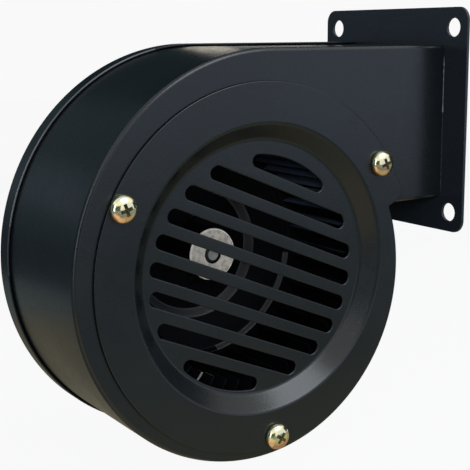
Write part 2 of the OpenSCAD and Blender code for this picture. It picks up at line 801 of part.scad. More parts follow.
module rotor_end_ring(length) {
    difference() {
        cylinder(r = end_ring_r, h = end_ring_t);
        translate([0, 0, -cut]) cylinder(r = end_ring_in_r, h = end_ring_t + 2 * cut);
    }
    for (k = [0 : paddle_n - 1]) rotate(360 / paddle_n * k)
        translate([end_ring_in_r + 3, -paddle_t / 2, end_ring_t / 2])
            cube([end_ring_r - end_ring_in_r - 4, paddle_t, end_ring_t / 2 + length]);
}

module rotor_end_rings() color("#b4b6b8") {
    on_axis(core_y) mirror([0, 0, 1]) rotor_end_ring(paddle_len);
    on_axis(core_y + core_len) rotor_end_ring(paddle_len);
}

module race_groove() {
    rotate_extrude() translate([bearing_pitch_r, bearing_w / 2]) circle(r = groove_r);
}

module outer_ring(y) {
    difference() {
        tube(y, bearing_w, outer_ring_r, bearing_out_r);
        on_axis(y) race_groove();
    }
}

module inner_ring(y) {
    difference() {
        tube(y, bearing_w, bearing_in_r, inner_ring_r);
        on_axis(y) race_groove();
    }
}

module balls(y) {
    on_axis(y + bearing_w / 2) for (k = [0 : ball_n - 1]) rotate(360 / ball_n * k)
        translate([bearing_pitch_r, 0, 0]) sphere(r = ball_r);
}

module cage(y) {
    difference() {
        tube(y + (bearing_w - cage_w) / 2, cage_w, cage_in_r, cage_out_r);
        on_axis(y + bearing_w / 2) for (k = [0 : ball_n - 1]) rotate(360 / ball_n * k)
            translate([inner_ring_r, 0, 0]) rotate([0, 90, 0])
                cylinder(r = pocket_r, h = outer_ring_r - inner_ring_r);
    }
}

module front_bearing_outer_ring() color("#c3c5c7") outer_ring(front_bearing_y);

module front_bearing_inner_ring() color("#c3c5c7") inner_ring(front_bearing_y);

module front_bearing_balls() color("#dcdddd") balls(front_bearing_y);

module front_bearing_cage() color("#b08d4a") cage(front_bearing_y);

module rear_bearing_outer_ring() color("#c3c5c7") outer_ring(rear_bearing_y);

module rear_bearing_inner_ring() color("#c3c5c7") inner_ring(rear_bearing_y);

module rear_bearing_balls() color("#dcdddd") balls(rear_bearing_y);

module rear_bearing_cage() color("#b08d4a") cage(rear_bearing_y);

module bearing_wave_washer() color("#6b6e72")
    tube(rear_bearing_y + bearing_w, washer_t, outer_ring_r - 0.5, bearing_out_r - thread_gap);

// A box in the terminal box's place: centred across the motor, from one height to another
module box_solid(width, length, low, high) {
    translate([fan_x - width / 2, box_mid_y - length / 2, low]) cube([width, length, high - low]);
}

module at_posts() {
    for (x = [-1, 1]) translate([fan_x + x * post_x, box_mid_y - x * post_y, 0]) children();
}

module terminal_box() color("#1f2124") on_motor_side() difference() {
    union() {
        difference() {
            box_solid(box_w, box_len, box_low_z, box_top_z);
            box_solid(box_w - 2 * box_t, box_len - 2 * box_t, box_floor_z, box_top_z + cut);
        }
        at_posts() translate([0, 0, box_floor_z - cut])
            cylinder(r = post_r, h = box_top_z - box_floor_z + cut);
    }
    on_axis(box_y - cut) cylinder(r = case_r + seat_gap, h = box_len + 2 * cut);
    at_posts() translate([0, 0, box_top_z - lid_hole_len])
        cylinder(r = tiny_d / 2 + thread_gap, h = lid_hole_len + cut);
    at_box_screws(fan_z) cylinder(r = small_d / 2 + hole_gap, h = box_floor_z - fan_z + cut);
    translate([fan_x + grommet_x, grommet_y, fan_z])
        cylinder(r = grommet_hole_r, h = box_floor_z - fan_z + cut);
    at_gland(box_w / 2 - box_t - cut) cylinder(r = gland_d / 2 + hole_gap, h = box_t + 2 * cut);
}

// Children on the gland's axis, x across the motor, with their own z along +X
module at_gland(x) {
    translate([fan_x + x, gland_y, gland_z]) rotate([0, 90, 0]) children();
}

module terminal_box_lid() color("#232528") on_motor_side() difference() {
    box_solid(box_w, box_len, box_top_z, box_top_z + lid_t);
    at_posts() translate([0, 0, box_top_z - cut]) cylinder(r = tiny_d / 2 + hole_gap, h = lid_t + 2 * cut);
}

// Each of these screws ends at the inside of the motor's case
module terminal_box_screws() color("#9a9c9e") on_motor_side()
    for (spot = [front_box_screw, rear_box_screw]) {
        low = fan_z + sqrt(case_in_r * case_in_r - pow(spot[0] - small_d / 2, 2)) + seat_gap;
        translate([fan_x + spot[0], spot[1], box_floor_z]) rotate([180, 0, 0])
            pan_screw(small_d, small_head_d, small_head_h, box_floor_z - low);
    }

module lid_screws() color("#9a9c9e") on_motor_side() at_posts() translate([0, 0, box_top_z + lid_t])
    rotate([180, 0, 0]) pan_screw(tiny_d, tiny_head_d, tiny_head_h, lid_screw_len);

// A terminal block on two feet, with a row of screws on top
module terminal_block() color("#e8e4d8") on_motor_side()
    translate([fan_x + block_x, block_y, box_floor_z]) {
    foot_w = 2;
    difference() {
        union() {
            translate([-block_size[0] / 2, -block_size[1] / 2, block_lift]) cube(block_size);
            for (side = [-1, 1]) translate([
                side * (block_size[0] - foot_w) / 2 - foot_w / 2, -block_size[1] / 2, 0
            ]) cube([foot_w, block_size[1], block_lift + cut]);
        }
        for (k = [-1 : 1]) translate([k * 4.5, 1, block_lift + 5]) cylinder(d = 3, h = block_size[2]);
    }
}

module run_capacitor() color("#d5d2c8") on_motor_side() translate([
    fan_x + capacitor_low_x, capacitor_y, box_floor_z + capacitor_r + thread_gap
]) rotate([0, 90, 0]) cylinder(r = capacitor_r, h = capacitor_len);

module lead_grommet() color("#1b1c1e") on_motor_side() translate([fan_x + grommet_x, grommet_y, 0]) {
    low = fan_z + case_in_r * 0.9;
    difference() {
        translate([0, 0, low]) cylinder(r = grommet_hole_r - thread_gap, h = box_floor_z + 1.5 - low);
        translate([0, 0, low - cut]) cylinder(r = grommet_bore_r, h = box_floor_z + 1.5 - low + 2 * cut);
    }
}

module lead_wires() color("#c8482c") on_motor_side() for (k = [-1 : 1]) {
    x = grommet_x + k * wire_pitch;
    low = fan_z + sqrt(winding_out_r * winding_out_r - pow(abs(x) - wire_d / 2, 2)) + wire_gap;
    translate([fan_x + x, grommet_y, low]) cylinder(d = wire_d, h = box_floor_z + block_lift - low);
}

module cable_gland() color("#202225") on_motor_side() difference() {
    union() {
        at_gland(box_w / 2) cylinder(r = gland_hex / 2 / cos(30), h = gland_hex_t, $fn = 6);
        at_gland(box_w / 2 - box_t - gland_thread + 2) cylinder(d = gland_d, h = gland_thread + box_t);
        at_gland(box_w / 2) cylinder(d = gland_d, h = gland_hex_t + 6);
    }
    at_gland(box_in_x - gland_thread) cylinder(r = gland_bore_r, h = 3 * gland_thread + 3 * gland_hex_t);
}

module gland_locknut() color("#202225") on_motor_side()
    at_gland(box_w / 2 - box_t - locknut_t) difference() {
    cylinder(r = locknut_hex / 2 / cos(30), h = locknut_t, $fn = 6);
    translate([0, 0, -cut]) cylinder(r = gland_d / 2 + thread_gap, h = locknut_t + 2 * cut);
}

module gland_nut() color("#26282b") on_motor_side() at_gland(box_w / 2 + gland_hex_t) difference() {
    union() {
        cylinder(r = gland_nut_r, h = gland_nut_len - 4);
        translate([0, 0, gland_nut_len - 4])
            cylinder(r1 = gland_nut_r, r2 = gland_bore_r + 1.6, h = 4);
    }
    translate([0, 0, -cut]) cylinder(r = gland_d / 2 + thread_gap, h = 7 + cut);
    translate([0, 0, -cut]) cylinder(r = gland_bore_r, h = gland_nut_len + 2 * cut);
}

module earth_screw() color("#c9b15c") beside_axis(back_y, earth_angle, earth_r) rotate([180, 0, 0]) {
    washer_r = small_head_d / 2 + washer_over;
    translate([0, 0, -earth_washer_t]) pan_screw(small_d, small_head_d, small_head_h, earth_screw_len);
    translate([0, 0, -earth_washer_t]) cylinder(r = washer_r, h = earth_washer_t);
}

front_housing();
rear_housing();
outlet_flange();
inlet_grille();
grille_screws();
back_plate_screws();
impeller_front_ring();
impeller_blades();
impeller_back_plate();
impeller_hub();
impeller_rivets();
hub_grub_screws();
motor_shaft();
shaft_circlips();
shaft_seal();
motor_gasket();
motor_mount_screws();
motor_front_bell();
motor_case();
motor_rear_bell();
motor_through_bolts();
stator_core();
stator_windings();
rotor_core();
rotor_end_rings();
front_bearing_outer_ring();
front_bearing_inner_ring();
front_bearing_balls();
front_bearing_cage();
rear_bearing_outer_ring();
rear_bearing_inner_ring();
rear_bearing_balls();
rear_bearing_cage();
bearing_wave_washer();
terminal_box();
terminal_box_lid();
terminal_box_screws();
lid_screws();
terminal_block();
run_capacitor();
lead_grommet();
lead_wires();
cable_gland();
gland_locknut();
gland_nut();
earth_screw();
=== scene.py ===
"""A small centrifugal fan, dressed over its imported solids.

Sizes are in millimetres in the part's own frame: the origin is the middle of the outlet's face,
+X is the way the air leaves, +Z is up, and the inlet side looks to -Y. The stage is in metres.
"""

import json
from math import asin, atan2, cos, degrees, exp, hypot, pi, radians, sin, sqrt

import bmesh
import bpy
from mathutils import Matrix, Vector


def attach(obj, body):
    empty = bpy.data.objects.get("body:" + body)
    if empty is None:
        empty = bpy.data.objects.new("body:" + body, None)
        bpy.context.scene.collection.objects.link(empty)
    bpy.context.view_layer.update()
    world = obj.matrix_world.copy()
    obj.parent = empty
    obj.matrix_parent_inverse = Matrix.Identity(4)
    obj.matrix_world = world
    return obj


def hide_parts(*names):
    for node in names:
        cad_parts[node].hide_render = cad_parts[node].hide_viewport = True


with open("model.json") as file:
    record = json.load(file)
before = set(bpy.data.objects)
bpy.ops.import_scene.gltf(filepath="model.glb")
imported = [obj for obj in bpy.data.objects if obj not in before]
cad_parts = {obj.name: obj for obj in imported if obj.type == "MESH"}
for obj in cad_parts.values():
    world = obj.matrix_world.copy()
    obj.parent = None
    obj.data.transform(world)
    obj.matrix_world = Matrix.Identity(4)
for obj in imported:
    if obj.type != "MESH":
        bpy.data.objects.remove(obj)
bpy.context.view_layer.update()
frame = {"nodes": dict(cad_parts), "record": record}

MM = 0.001

# Pressed sheet, and the rounding of its cut edges
SHEET = 1
SOFT = 0.15

# The wheel's axis runs along Y through this X and Z
FAN_X = -83.5
FAN_Z = -48.8
AXIS = (FAN_X, FAN_Z)

# Faces of the housing along Y
COVER_Y = -31.5
FRONT_Y = -30.5
PANEL_Y = -26
PLATE_Y = 29.5
BACK_Y = 30.5

# Scroll: three arcs, each about its own centre
LOW_CENTRE = (-86.45, -53.5)
SIDE_CENTRE = (-86.45, -47.6)
TOP_CENTRE = (-80.55, -47.6)
LOW_R = 64.3
SIDE_R = 70.2
TOP_R = 76.1
PAN_EDGE = 1.5
INLET_R = 55.4
SHAFT_HOLE_R = 16
TAB_SCREW_IN = 6

# Lip of the back plate, and the angles between which its front edge carries a painted highlight, bright,
# then dim
LIP_GAP = 0.5
LIP_OUT = 1.1
LIP_DEPTH = 7.7
LIP_BRIGHT_HIGHLIGHT = (102, 170)
LIP_DIM_HIGHLIGHT = (170, 183)

# Outlet duct, flange and weld bead, with the level above which the bead carries a painted highlight
DUCT_TOP = 28.5
DUCT_FLOOR = -29.7
DUCT_END = -1.2
FLANGE_HALF = 42.5
FLANGE_CORNER = 5
FLANGE_HOLE_AT = 35
FLANGE_HOLE_R = 3.5
BEAD_LUMP_Z = 4.2
BEAD_HIGHLIGHT_Z = 3.4

# Inlet cover
COVER_R = 66.2
COVER_EASE = 0.42
COVER_SCREW_R = 61.7
BEZEL_R = 52.5
BEZEL_WIDTH = 7.3
FIELD_CENTRE = (FAN_X - 0.9, FAN_Z - 1.95)
FIELD_R = 42.5
SLOT_COUNT = 9
SLOT_PITCH = 9.5
SLOT_TILT = -22.6
SLOT_CORNER = 2.3
SLOT_CORNER_AT = 0.3
SLOT_EASE = 0.45

# Wheel; levels along its axis count from the floor of its dished back plate
DISH_Y = 20.5
BLADE_COUNT = 48
BLADE_IN_R = 41.4
BLADE_OUT_R = 50.5
BLADE_BEND = 10
BLADE_HALF = 0.4
BLADE_FRONT = -42.2
BLADE_BRIGHT_END = -36
BLADE_BACK = -7.5
BRIGHT_EDGED_BLADES = (15, 16)
RIVET_R = 12.4
HUB_FRONT = -16.2

# Motor; levels along its axis count from the front bell's face
BELL_Y = 32
MOTOR_END_Y = 107
BELL_FLOOR = 4
BOLT_R = 35.5

# Terminal box and gland
BOX_X = -21.5
BOX_LOW = (45.5, -71.8)
BOX_HIGH = (93.5, -25.8)
BOX_FLOOR_X = FAN_X + 43
BOX_WALL = 2
BOX_CORNER = 1.6
LID = 2
LID_SCREWS = [(BOX_HIGH[0] - 24 - k * 19.4, FAN_Z - k * 18.4) for k in (-1, 1)]
GLAND = (-31, 66.5, -71.8)


# Places: each turns (across, up, along) into a point of the part


def along_axis(u, v, w):
    return (FAN_X + u, w, FAN_Z + v)


def on_wheel(u, v, w):
    return along_axis(u, v, DISH_Y + w)


def on_motor(u, v, w):
    return along_axis(u, v, BELL_Y + w)


def along_gland(u, v, w):
    return (GLAND[0] + u, GLAND[1] + v, GLAND[2] - w)


def seen_from_front(u, v, w):
    return (u, w, v)


def seen_from_outlet(u, v, w):
    return (w, u, v)


def upright(u, v, w):
    return (u, v, w)


def at_spot(spot):
    """The place whose axis runs along +Y from a spot."""
    x, y, z = spot
    return lambda u, v, w: (x + u, y + w, z + v)


# Lines


def polar(centre, radius, angle):
    a = radians(angle)
    return (centre[0] + radius * cos(a), centre[1] + radius * sin(a))


def axis_spot(radius, angle, y):
    x, z = polar(AXIS, radius, angle)
    return (x, y, z)


def arc(centre, radius, start, end, count):
    return [polar(centre, radius, start + (end - start) * i / count) for i in range(count + 1)]


def circle(centre, radius, count):
    return arc(centre, radius, 0, 360, count)[:-1]


def quarter(count):
    """Angles in radians from 0 to a right angle."""
    return [radians(90 * k / count) for k in range(count + 1)]


def rotated(points, angle, centre=(0, 0)):
    """Points turned about the origin by an angle in degrees, then moved to a centre."""
    c, s = cos(radians(angle)), sin(radians(angle))
    return [(centre[0] + u * c - v * s, centre[1] + u * s + v * c) for u, v in points]


def rounded_box(low, high, radius, count=6):
    """A rectangle with rounded corners, counter-clockwise; radius is one number or one per corner."""
    radii = radius if isinstance(radius, (list, tuple)) else [radius] * 4
    corners = [(low[0], low[1]), (high[0], low[1]), (high[0], high[1]), (low[0], high[1])]
    inward = [(1, 1), (-1, 1), (-1, -1), (1, -1)]
    points = []
    for k, (r, corner, way) in enumerate(zip(radii, corners, inward)):
        if r <= 0:
            points.append(corner)
            continue
        middle = (corner[0] + way[0] * r, corner[1] + way[1] * r)
        points += arc(middle, r, 180 + 90 * k, 270 + 90 * k, count)
    return points


def eased(points, reach):
    """The same line with each inner corner turned into a short curve."""
    line = [points[0]]
    for before, here, after in zip(points, points[1:], points[2:]):
        into = Vector(here) - Vector(before)
        out = Vector(after) - Vector(here)
        start = Vector(here) - into.normalized() * min(reach, into.length * 0.45)
        end = Vector(here) + out.normalized() * min(reach, out.length * 0.45)
        for k in range(5):
            t = k / 4
            bend = start * (1 - t) ** 2 + Vector(here) * 2 * t * (1 - t) + end * t * t
            line.append(tuple(bend))
    line.append(points[-1])
    return line


def inset_loop(loop, amount):
    """The loop moved to its left, which is the side the metal is on."""
    moved = []
    for i, (u, v) in enumerate(loop):
        ahead = loop[(i + 1) % len(loop)]
        behind = loop[i - 1]
        du = ahead[0] - behind[0]
        dv = ahead[1] - behind[1]
        size = hypot(du, dv) or 1
        moved.append((u - dv / size * amount, v + du / size * amount))
    return moved


# Faces


def ring(bm, points):
    return [bm.verts.new((x * MM, y * MM, z * MM)) for x, y, z in points]


def loop_at(bm, loop, w, place=seen_from_front):
    """The points of a flat loop at one level of a place."""
    return ring(bm, [place(u, v, w) for u, v in loop])


def strip(bm, first, second, closed=True):
    """Four-sided faces between two rings of points."""
    count = len(first)
    faces = []
    for i in range(count if closed else count - 1):
        j = (i + 1) % count
        faces.append(bm.faces.new((first[i], first[j], second[j], second[i])))
    return faces


def skin(bm, rings, closed=True):
    """Joins each ring of points to the next."""
    for one, other in zip(rings, rings[1:]):
        strip(bm, one, other, closed)


def cap(bm, rings):
    """Closes both ends of a skin with one face each."""
    bm.faces.new(rings[0])
    bm.faces.new(rings[-1][::-1])


def fill(bm, *loops):
    """A flat face inside the first loop, with the other loops left open."""
    edges = []
    for loop in loops:
        for i, vert in enumerate(loop):
            after = loop[(i + 1) % len(loop)]
            edges.append(bm.edges.get((vert, after)) or bm.edges.new((vert, after)))
    bmesh.ops.triangle_fill(bm, use_beauty=True, use_dissolve=False, edges=edges)


def cut_edge(bm, loop, start, end, edge, place=seen_from_front):
    """The rounded cut edge of a sheet, from its face at start to its face at end."""
    way = 1 if end > start else -1
    bends = quarter(4)
    steps = [(edge * (1 - sin(a)), start + way * edge * (1 - cos(a))) for a in bends]
    steps += [(edge * (1 - sin(a)), end - way * edge * (1 - cos(a))) for a in bends[::-1]]
    rings = [loop_at(bm, inset_loop(loop, inset), w, place) for inset, w in steps]
    skin(bm, rings)
    return rings[0], rings[-1]


def sheet(bm, outer, holes, start, end, edge, place=seen_from_front):
    """A flat sheet with holes; outer and holes both run counter-clockwise."""
    edges = [cut_edge(bm, outer, start, end, edge, place)]
    edges += [cut_edge(bm, hole[::-1], start, end, edge, place) for hole in holes]
    fill(bm, *[pair[0] for pair in edges])
    fill(bm, *[pair[1] for pair in edges])


def turn(bm, profile, place=along_axis, count=96, closed=True):
    """Turns a line of (radius, along) points about an axis; closed joins its last point to its first."""
    rings = []
    for radius, along in profile:
        if radius < 1e-6:
            rings.append(ring(bm, [place(0, 0, along)]))
        else:
            rings.append(loop_at(bm, circle((0, 0), radius, count), along, place))
    pairs = list(zip(rings, rings[1:]))
    if closed:
        pairs.append((rings[-1], rings[0]))
    for one, other in pairs:
        if len(one) > 1 and len(other) > 1:
            strip(bm, one, other)
            continue
        tip, rim = (one[0], other) if len(one) == 1 else (other[0], one)
        for i in range(count):
            bm.faces.new((tip, rim[i], rim[(i + 1) % count]))


# Pieces


def add_mesh(bm, mesh, matrix):
    """Adds a copy of a mesh, moved by a matrix."""
    before = len(bm.verts)
    bm.from_mesh(mesh)
    bm.verts.ensure_lookup_table()
    bmesh.ops.transform(bm, matrix=matrix, verts=bm.verts[before:])


def cut_from(mesh, cutter):
    """A mesh with another one taken out of it."""
    body = bpy.data.objects.new("cut_body", mesh)
    tool = bpy.data.objects.new("cut_tool", cutter)
    for obj in (body, tool):
        bpy.context.scene.collection.objects.link(obj)
    cut = body.modifiers.new("cut", "BOOLEAN")
    cut.operation = "DIFFERENCE"
    cut.solver = "EXACT"
    cut.object = tool
    depsgraph = bpy.context.evaluated_depsgraph_get()
    made = bpy.data.meshes.new_from_object(body.evaluated_get(depsgraph))
    for obj in (body, tool):
        bpy.data.objects.remove(obj)
    return made


def made_mesh(bm, name):
    bmesh.ops.recalc_face_normals(bm, faces=bm.faces[:])
    mesh = bpy.data.meshes.new(name)
    bm.to_mesh(mesh)
    bm.free()
    return mesh


def piece(name, bm, body, finish, nodes, sharp=35, slot=None):
    """Makes a piece with smooth shading and crisp corners; slot is not used."""
    slot = slot or finish
    mesh = made_mesh(bm, name)
    mesh.shade_smooth()
    mesh.set_sharp_from_angle(angle=radians(sharp))
    mesh.materials.append(finishes[finish])
    obj = bpy.data.objects.new(name, mesh)
    bpy.context.scene.collection.objects.link(obj)
    even = obj.modifiers.new("even_shading", "WEIGHTED_NORMAL")
    even.keep_sharp = True
    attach(obj, body)
    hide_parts(*nodes)
    return obj


def refinish(obj, finish, chosen):
    """Adds a finish for those faces still in the first one that chosen(middle, normal) picks."""
    obj.data.materials.append(finishes[finish])
    added = len(obj.data.materials) - 1
    for face in obj.data.polygons:
        if face.material_index == 0 and chosen(face.center / MM, face.normal):
            face.material_index = added


def radius_about(centre, point):
    return hypot(point.x - centre[0], point.z - centre[1])


def angle_about(centre, point):
    return degrees(atan2(point.z - centre[1], point.x - centre[0]))


# Finishes


def feed(tree, node, given):
    """Sets a node's sockets to numbers or colours, or links them to other nodes' outputs."""
    for label, amount in given.items():
        socket = node.inputs[label]
        if isinstance(amount, (int, float)):
            socket.default_value = amount
        elif isinstance(amount, tuple):
            socket.default_value = (*amount, 1)
        else:
            tree.links.new(amount, socket)


def step(tree, kind, given, output=0, **settings):
    """Adds a node, feeds it and gives one of its outputs."""
    node = tree.nodes.new(kind)
    for name, value in settings.items():
        setattr(node, name, value)
    feed(tree, node, given)
    return node.outputs[output]


def noise(tree, scale, detail=2, rough=0.5):
    """A noise over the object's own coordinates; scale is in features per metre."""
    place = step(tree, "ShaderNodeTexCoord", {}, "Object")
    given = {"Vector": place, "Scale": scale, "Detail": detail, "Roughness": rough}
    return step(tree, "ShaderNodeTexNoise", given, "Fac")


def spread(tree, value, low, high, to_low=0, to_high=1):
    """Stretches a value's range and clamps it."""
    given = {"Value": value, "From Min": low, "From Max": high, "To Min": to_low, "To Max": to_high}
    return step(tree, "ShaderNodeMapRange", given, "Result", clamp=True)


def blend(tree, share, first, second):
    """Mixes two colours."""
    return step(tree, "ShaderNodeMix", {0: share, 6: first, 7: second}, 2, data_type="RGBA")


def sums(tree, kind, first, second):
    return step(tree, "ShaderNodeMath", {0: first, 1: second}, operation=kind)


def average(tree, first, second):
    return sums(tree, "MULTIPLY", sums(tree, "ADD", first, second), 0.5)


def new_group(name, colours, numbers):
    """A shared shader group with named inputs; it puts out a colour, a roughness and a height."""
    group = bpy.data.node_groups.new(name, "ShaderNodeTree")
    for kind, labels in (("NodeSocketColor", colours), ("NodeSocketFloat", numbers)):
        for label in labels:
            group.interface.new_socket(label, in_out="INPUT", socket_type=kind)
    for label, kind in (("Colour", "NodeSocketColor"), ("Roughness", "NodeSocketFloat"),
                        ("Height", "NodeSocketFloat")):
        group.interface.new_socket(label, in_out="OUTPUT", socket_type=kind)
    return group, group.nodes.new("NodeGroupInput").outputs


def put_out(group, given, colour, uneven, height):
    """Links a group's outputs; its roughness follows an uneven value from smoothest to roughest."""
    rough = spread(group, uneven, 0.3, 0.7, given["Smoothest"], given["Roughest"])
    end = group.nodes.new("NodeGroupOutput")
    feed(group, end, {"Colour": colour, "Roughness": rough, "Height": height})
    return group


def make_coating():
    """Sprayed coat: slow changes of tone, fine orange peel, a few pale specks of dust."""
    group, given = new_group("sprayed_coat", ("Colour", "Faded", "Dust"),
                             ("Dust Amount", "Peel Scale", "Smoothest", "Roughest"))
    clouds = spread(group, noise(group, 22, 3), 0.3, 0.7)
    fine = noise(group, 340, 3)
    peel = noise(group, given["Peel Scale"], 1.5)
    specks = spread(group, noise(group, 2600, 1), 0.735, 0.8)
    patches = spread(group, noise(group, 60, 2), 0.42, 0.62)
    dust = sums(group, "MULTIPLY", sums(group, "MULTIPLY", specks, patches), given["Dust Amount"])
    tone = blend(group, clouds, given["Colour"], given["Faded"])
    colour = blend(group, dust, tone, given["Dust"])
    return put_out(group, given, colour, average(group, clouds, fine), peel)


def make_plating():
    """Bare or plated metal: drifting tints, fine scuffs, small pits."""
    group, given = new_group("bare_metal", ("Colour", "Tint", "Pits"),
                             ("Pit Amount", "Tint Scale", "Grain Scale", "Smoothest", "Roughest"))
    drift = spread(group, noise(group, given["Tint Scale"], 2), 0.35, 0.65)
    grain = noise(group, given["Grain Scale"], 3, 0.6)
    pits = sums(group, "MULTIPLY", spread(group, grain, 0.56, 0.7), given["Pit Amount"])
    tone = blend(group, drift, given["Colour"], given["Tint"])
    return put_out(group, given, blend(group, pits, tone, given["Pits"]), grain, grain)


def make_moulding():
    """Moulded or cast surface: fine spark-eroded grain and a slow change of tone."""
    group, given = new_group("moulded_grain", ("Colour", "Rubbed"),
                             ("Grain Scale", "Smoothest", "Roughest"))
    grain = noise(group, given["Grain Scale"], 2, 0.6)
    drift = noise(group, 45, 3)
    both = spread(group, average(group, grain, drift), 0.35, 0.65)
    return put_out(group, given, blend(group, both, given["Colour"], given["Rubbed"]), grain, grain)


coating = make_coating()
plating = make_plating()
moulding = make_moulding()
finishes = {}


def new_material(name):
    material = bpy.data.materials.new(name)
    material.use_nodes = True
    return material, material.node_tree


def surface(name, group, values, rough, metal=0, bump=0.1, depth=0.0002, gloss=0.5):
    """A material on one of the shared groups; rough is its smoothest and its roughest."""
    finish, tree = new_material(name)
    made = tree.nodes.new("ShaderNodeGroup")
    made.node_tree = group
    feed(tree, made, {**values, "Smoothest": rough[0], "Roughest": rough[1]})
    relief = {"Strength": bump, "Distance": depth, "Height": made.outputs["Height"]}
    feed(tree, tree.nodes["Principled BSDF"], {
        "Base Color": made.outputs["Colour"], "Metallic": metal, "Roughness": made.outputs["Roughness"],
        "Specular IOR Level": gloss, "Normal": step(tree, "ShaderNodeBump", relief)})
    finishes[name] = finish


def painted(name, colour, faded, dust, amount, peel, rough, **look):
    values = {"Colour": colour, "Faded": faded, "Dust": dust, "Dust Amount": amount, "Peel Scale": peel}
    surface(name, coating, values, rough, **look)


def plated(name, colour, tint, pits, amount, rough, drift=260, grain=1800, depth=0.0001, **look):
    values = {"Colour": colour, "Tint": tint, "Pits": pits, "Pit Amount": amount,
              "Tint Scale": drift, "Grain Scale": grain}
    surface(name, plating, values, rough, depth=depth, **look)


def moulded(name, colour, rubbed, grain, rough, **look):
    surface(name, moulding, {"Colour": colour, "Rubbed": rubbed, "Grain Scale": grain}, rough, **look)


painted(
    "housing_paint", (0.0034, 0.0047, 0.0058), (0.0044, 0.0058, 0.007),
    dust=(0.1, 0.11, 0.12), amount=0.18, peel=1500, rough=(0.23, 0.33), bump=0.15)
# A lighter copy of the housing's coat for the flange: painted light
painted(
    "flange_coat_painted_light", (0.0072, 0.0098, 0.0135), (0.0088, 0.0115, 0.0152),
    dust=(0.1, 0.11, 0.12), amount=0.18, peel=1500, rough=(0.23, 0.33), bump=0.15)
# Paint for edges that carry a painted highlight
painted(
    "edge_painted_highlight", (0.05, 0.054, 0.058), (0.16, 0.168, 0.175),
    dust=(0.4, 0.4, 0.4), amount=0.4, peel=1400, rough=(0.28, 0.42), metal=0.5, depth=0.0001)
painted(
    "motor_paint", (0.01, 0.011, 0.013), (0.016, 0.017, 0.019),
    dust=(0.15, 0.15, 0.15), amount=0.3, peel=800, rough=(0.34, 0.5))
# A near-black coat for the cover's outer rim: painted shade in its gap against the pan
painted(
    "cover_rim_painted_shade", (0.001, 0.0012, 0.0015), (0.0018, 0.002, 0.0025),
    dust=(0.01, 0.01, 0.01), amount=0.2, peel=700, rough=(0.5, 0.65), gloss=0.05)
# The wheel's black coat, darker and duller than real black paint as painted shade inside the housing
painted(
    "wheel_paint", (0.0016, 0.0017, 0.0024), (0.0028, 0.003, 0.0038),
    dust=(0.08, 0.08, 0.08), amount=0.2, peel=700, rough=(0.2, 0.32), bump=0.06, gloss=0.05)
# A lighter coat for the blades' leading faces: painted light, with dust specks
painted(
    "dusty_blade_painted_light", (0.014, 0.02, 0.034), (0.032, 0.042, 0.064),
    dust=(0.12, 0.12, 0.13), amount=0.5, peel=700, rough=(0.45, 0.6), bump=0.06, gloss=0.2)
# A grey for painted highlights on the wheel's steps and the lip, and for painted shade on the shaft's end
painted(
    "grey_painted_light_and_shade", (0.013, 0.014, 0.0165), (0.026, 0.028, 0.032),
    dust=(0.2, 0.2, 0.2), amount=0.3, peel=900, rough=(0.34, 0.5), bump=0.08, depth=0.0001)
plated(
    "bright_blade_edge", (0.22, 0.22, 0.215), (0.1, 0.1, 0.1),
    pits=(0.05, 0.05, 0.05), amount=0.3, rough=(0.3, 0.5), metal=0.2)
# A darker zinc for the screws' cross recesses: painted shade
plated(
    "recess_painted_shade", (0.24, 0.185, 0.09), (0.12, 0.095, 0.045),
    pits=(0.03, 0.024, 0.014), amount=0.5, rough=(0.3, 0.5), drift=700, metal=0.6)
plated(
    "yellow_zinc", (0.98, 0.94, 0.58), (0.98, 0.87, 0.56),
    pits=(0.4, 0.31, 0.15), amount=0.25, rough=(0.1, 0.22), grain=1600, metal=1, bump=0.06)
# An orange zinc for the downward faces of the cover screws' heads: a painted warm reflection of the floor
plated(
    "zinc_painted_warm_reflection", (0.98, 0.7, 0.46), (0.97, 0.6, 0.38),
    pits=(0.42, 0.25, 0.13), amount=0.3, rough=(0.12, 0.24), drift=420, grain=1600,
    metal=1, bump=0.06)
plated(
    "bright_zinc", (0.66, 0.67, 0.69), (0.58, 0.6, 0.63),
    pits=(0.3, 0.3, 0.31), amount=0.3, rough=(0.2, 0.4), metal=1, bump=0.06)
plated(
    "hub_alloy", (0.66, 0.61, 0.53), (0.4, 0.38, 0.345),
    pits=(0.16, 0.15, 0.135), amount=0.8, rough=(0.42, 0.62), drift=620, grain=1900,
    metal=0.15, bump=0.25, depth=0.00015)
# A brighter alloy for the hub's rim chamfer: a painted highlight
plated(
    "hub_rim_painted_highlight", (0.86, 0.83, 0.77), (0.72, 0.69, 0.63),
    pits=(0.4, 0.38, 0.35), amount=0.3, rough=(0.35, 0.5), drift=620, grain=1900, metal=0.15)
plated(
    "shaft_steel", (0.42, 0.41, 0.39), (0.36, 0.36, 0.35),
    pits=(0.2, 0.2, 0.19), amount=0.4, rough=(0.25, 0.42), metal=0.7, bump=0.08)
plated(
    "bell_alloy", (0.44, 0.45, 0.46), (0.37, 0.38, 0.39),
    pits=(0.2, 0.2, 0.2), amount=0.4, rough=(0.42, 0.62), drift=90, grain=1300,
    metal=0.6, bump=0.35, depth=0.00025)
moulded(
    "box_plastic", (0.013, 0.014, 0.015), (0.021, 0.022, 0.024),
    grain=1700, rough=(0.42, 0.6), bump=0.3)

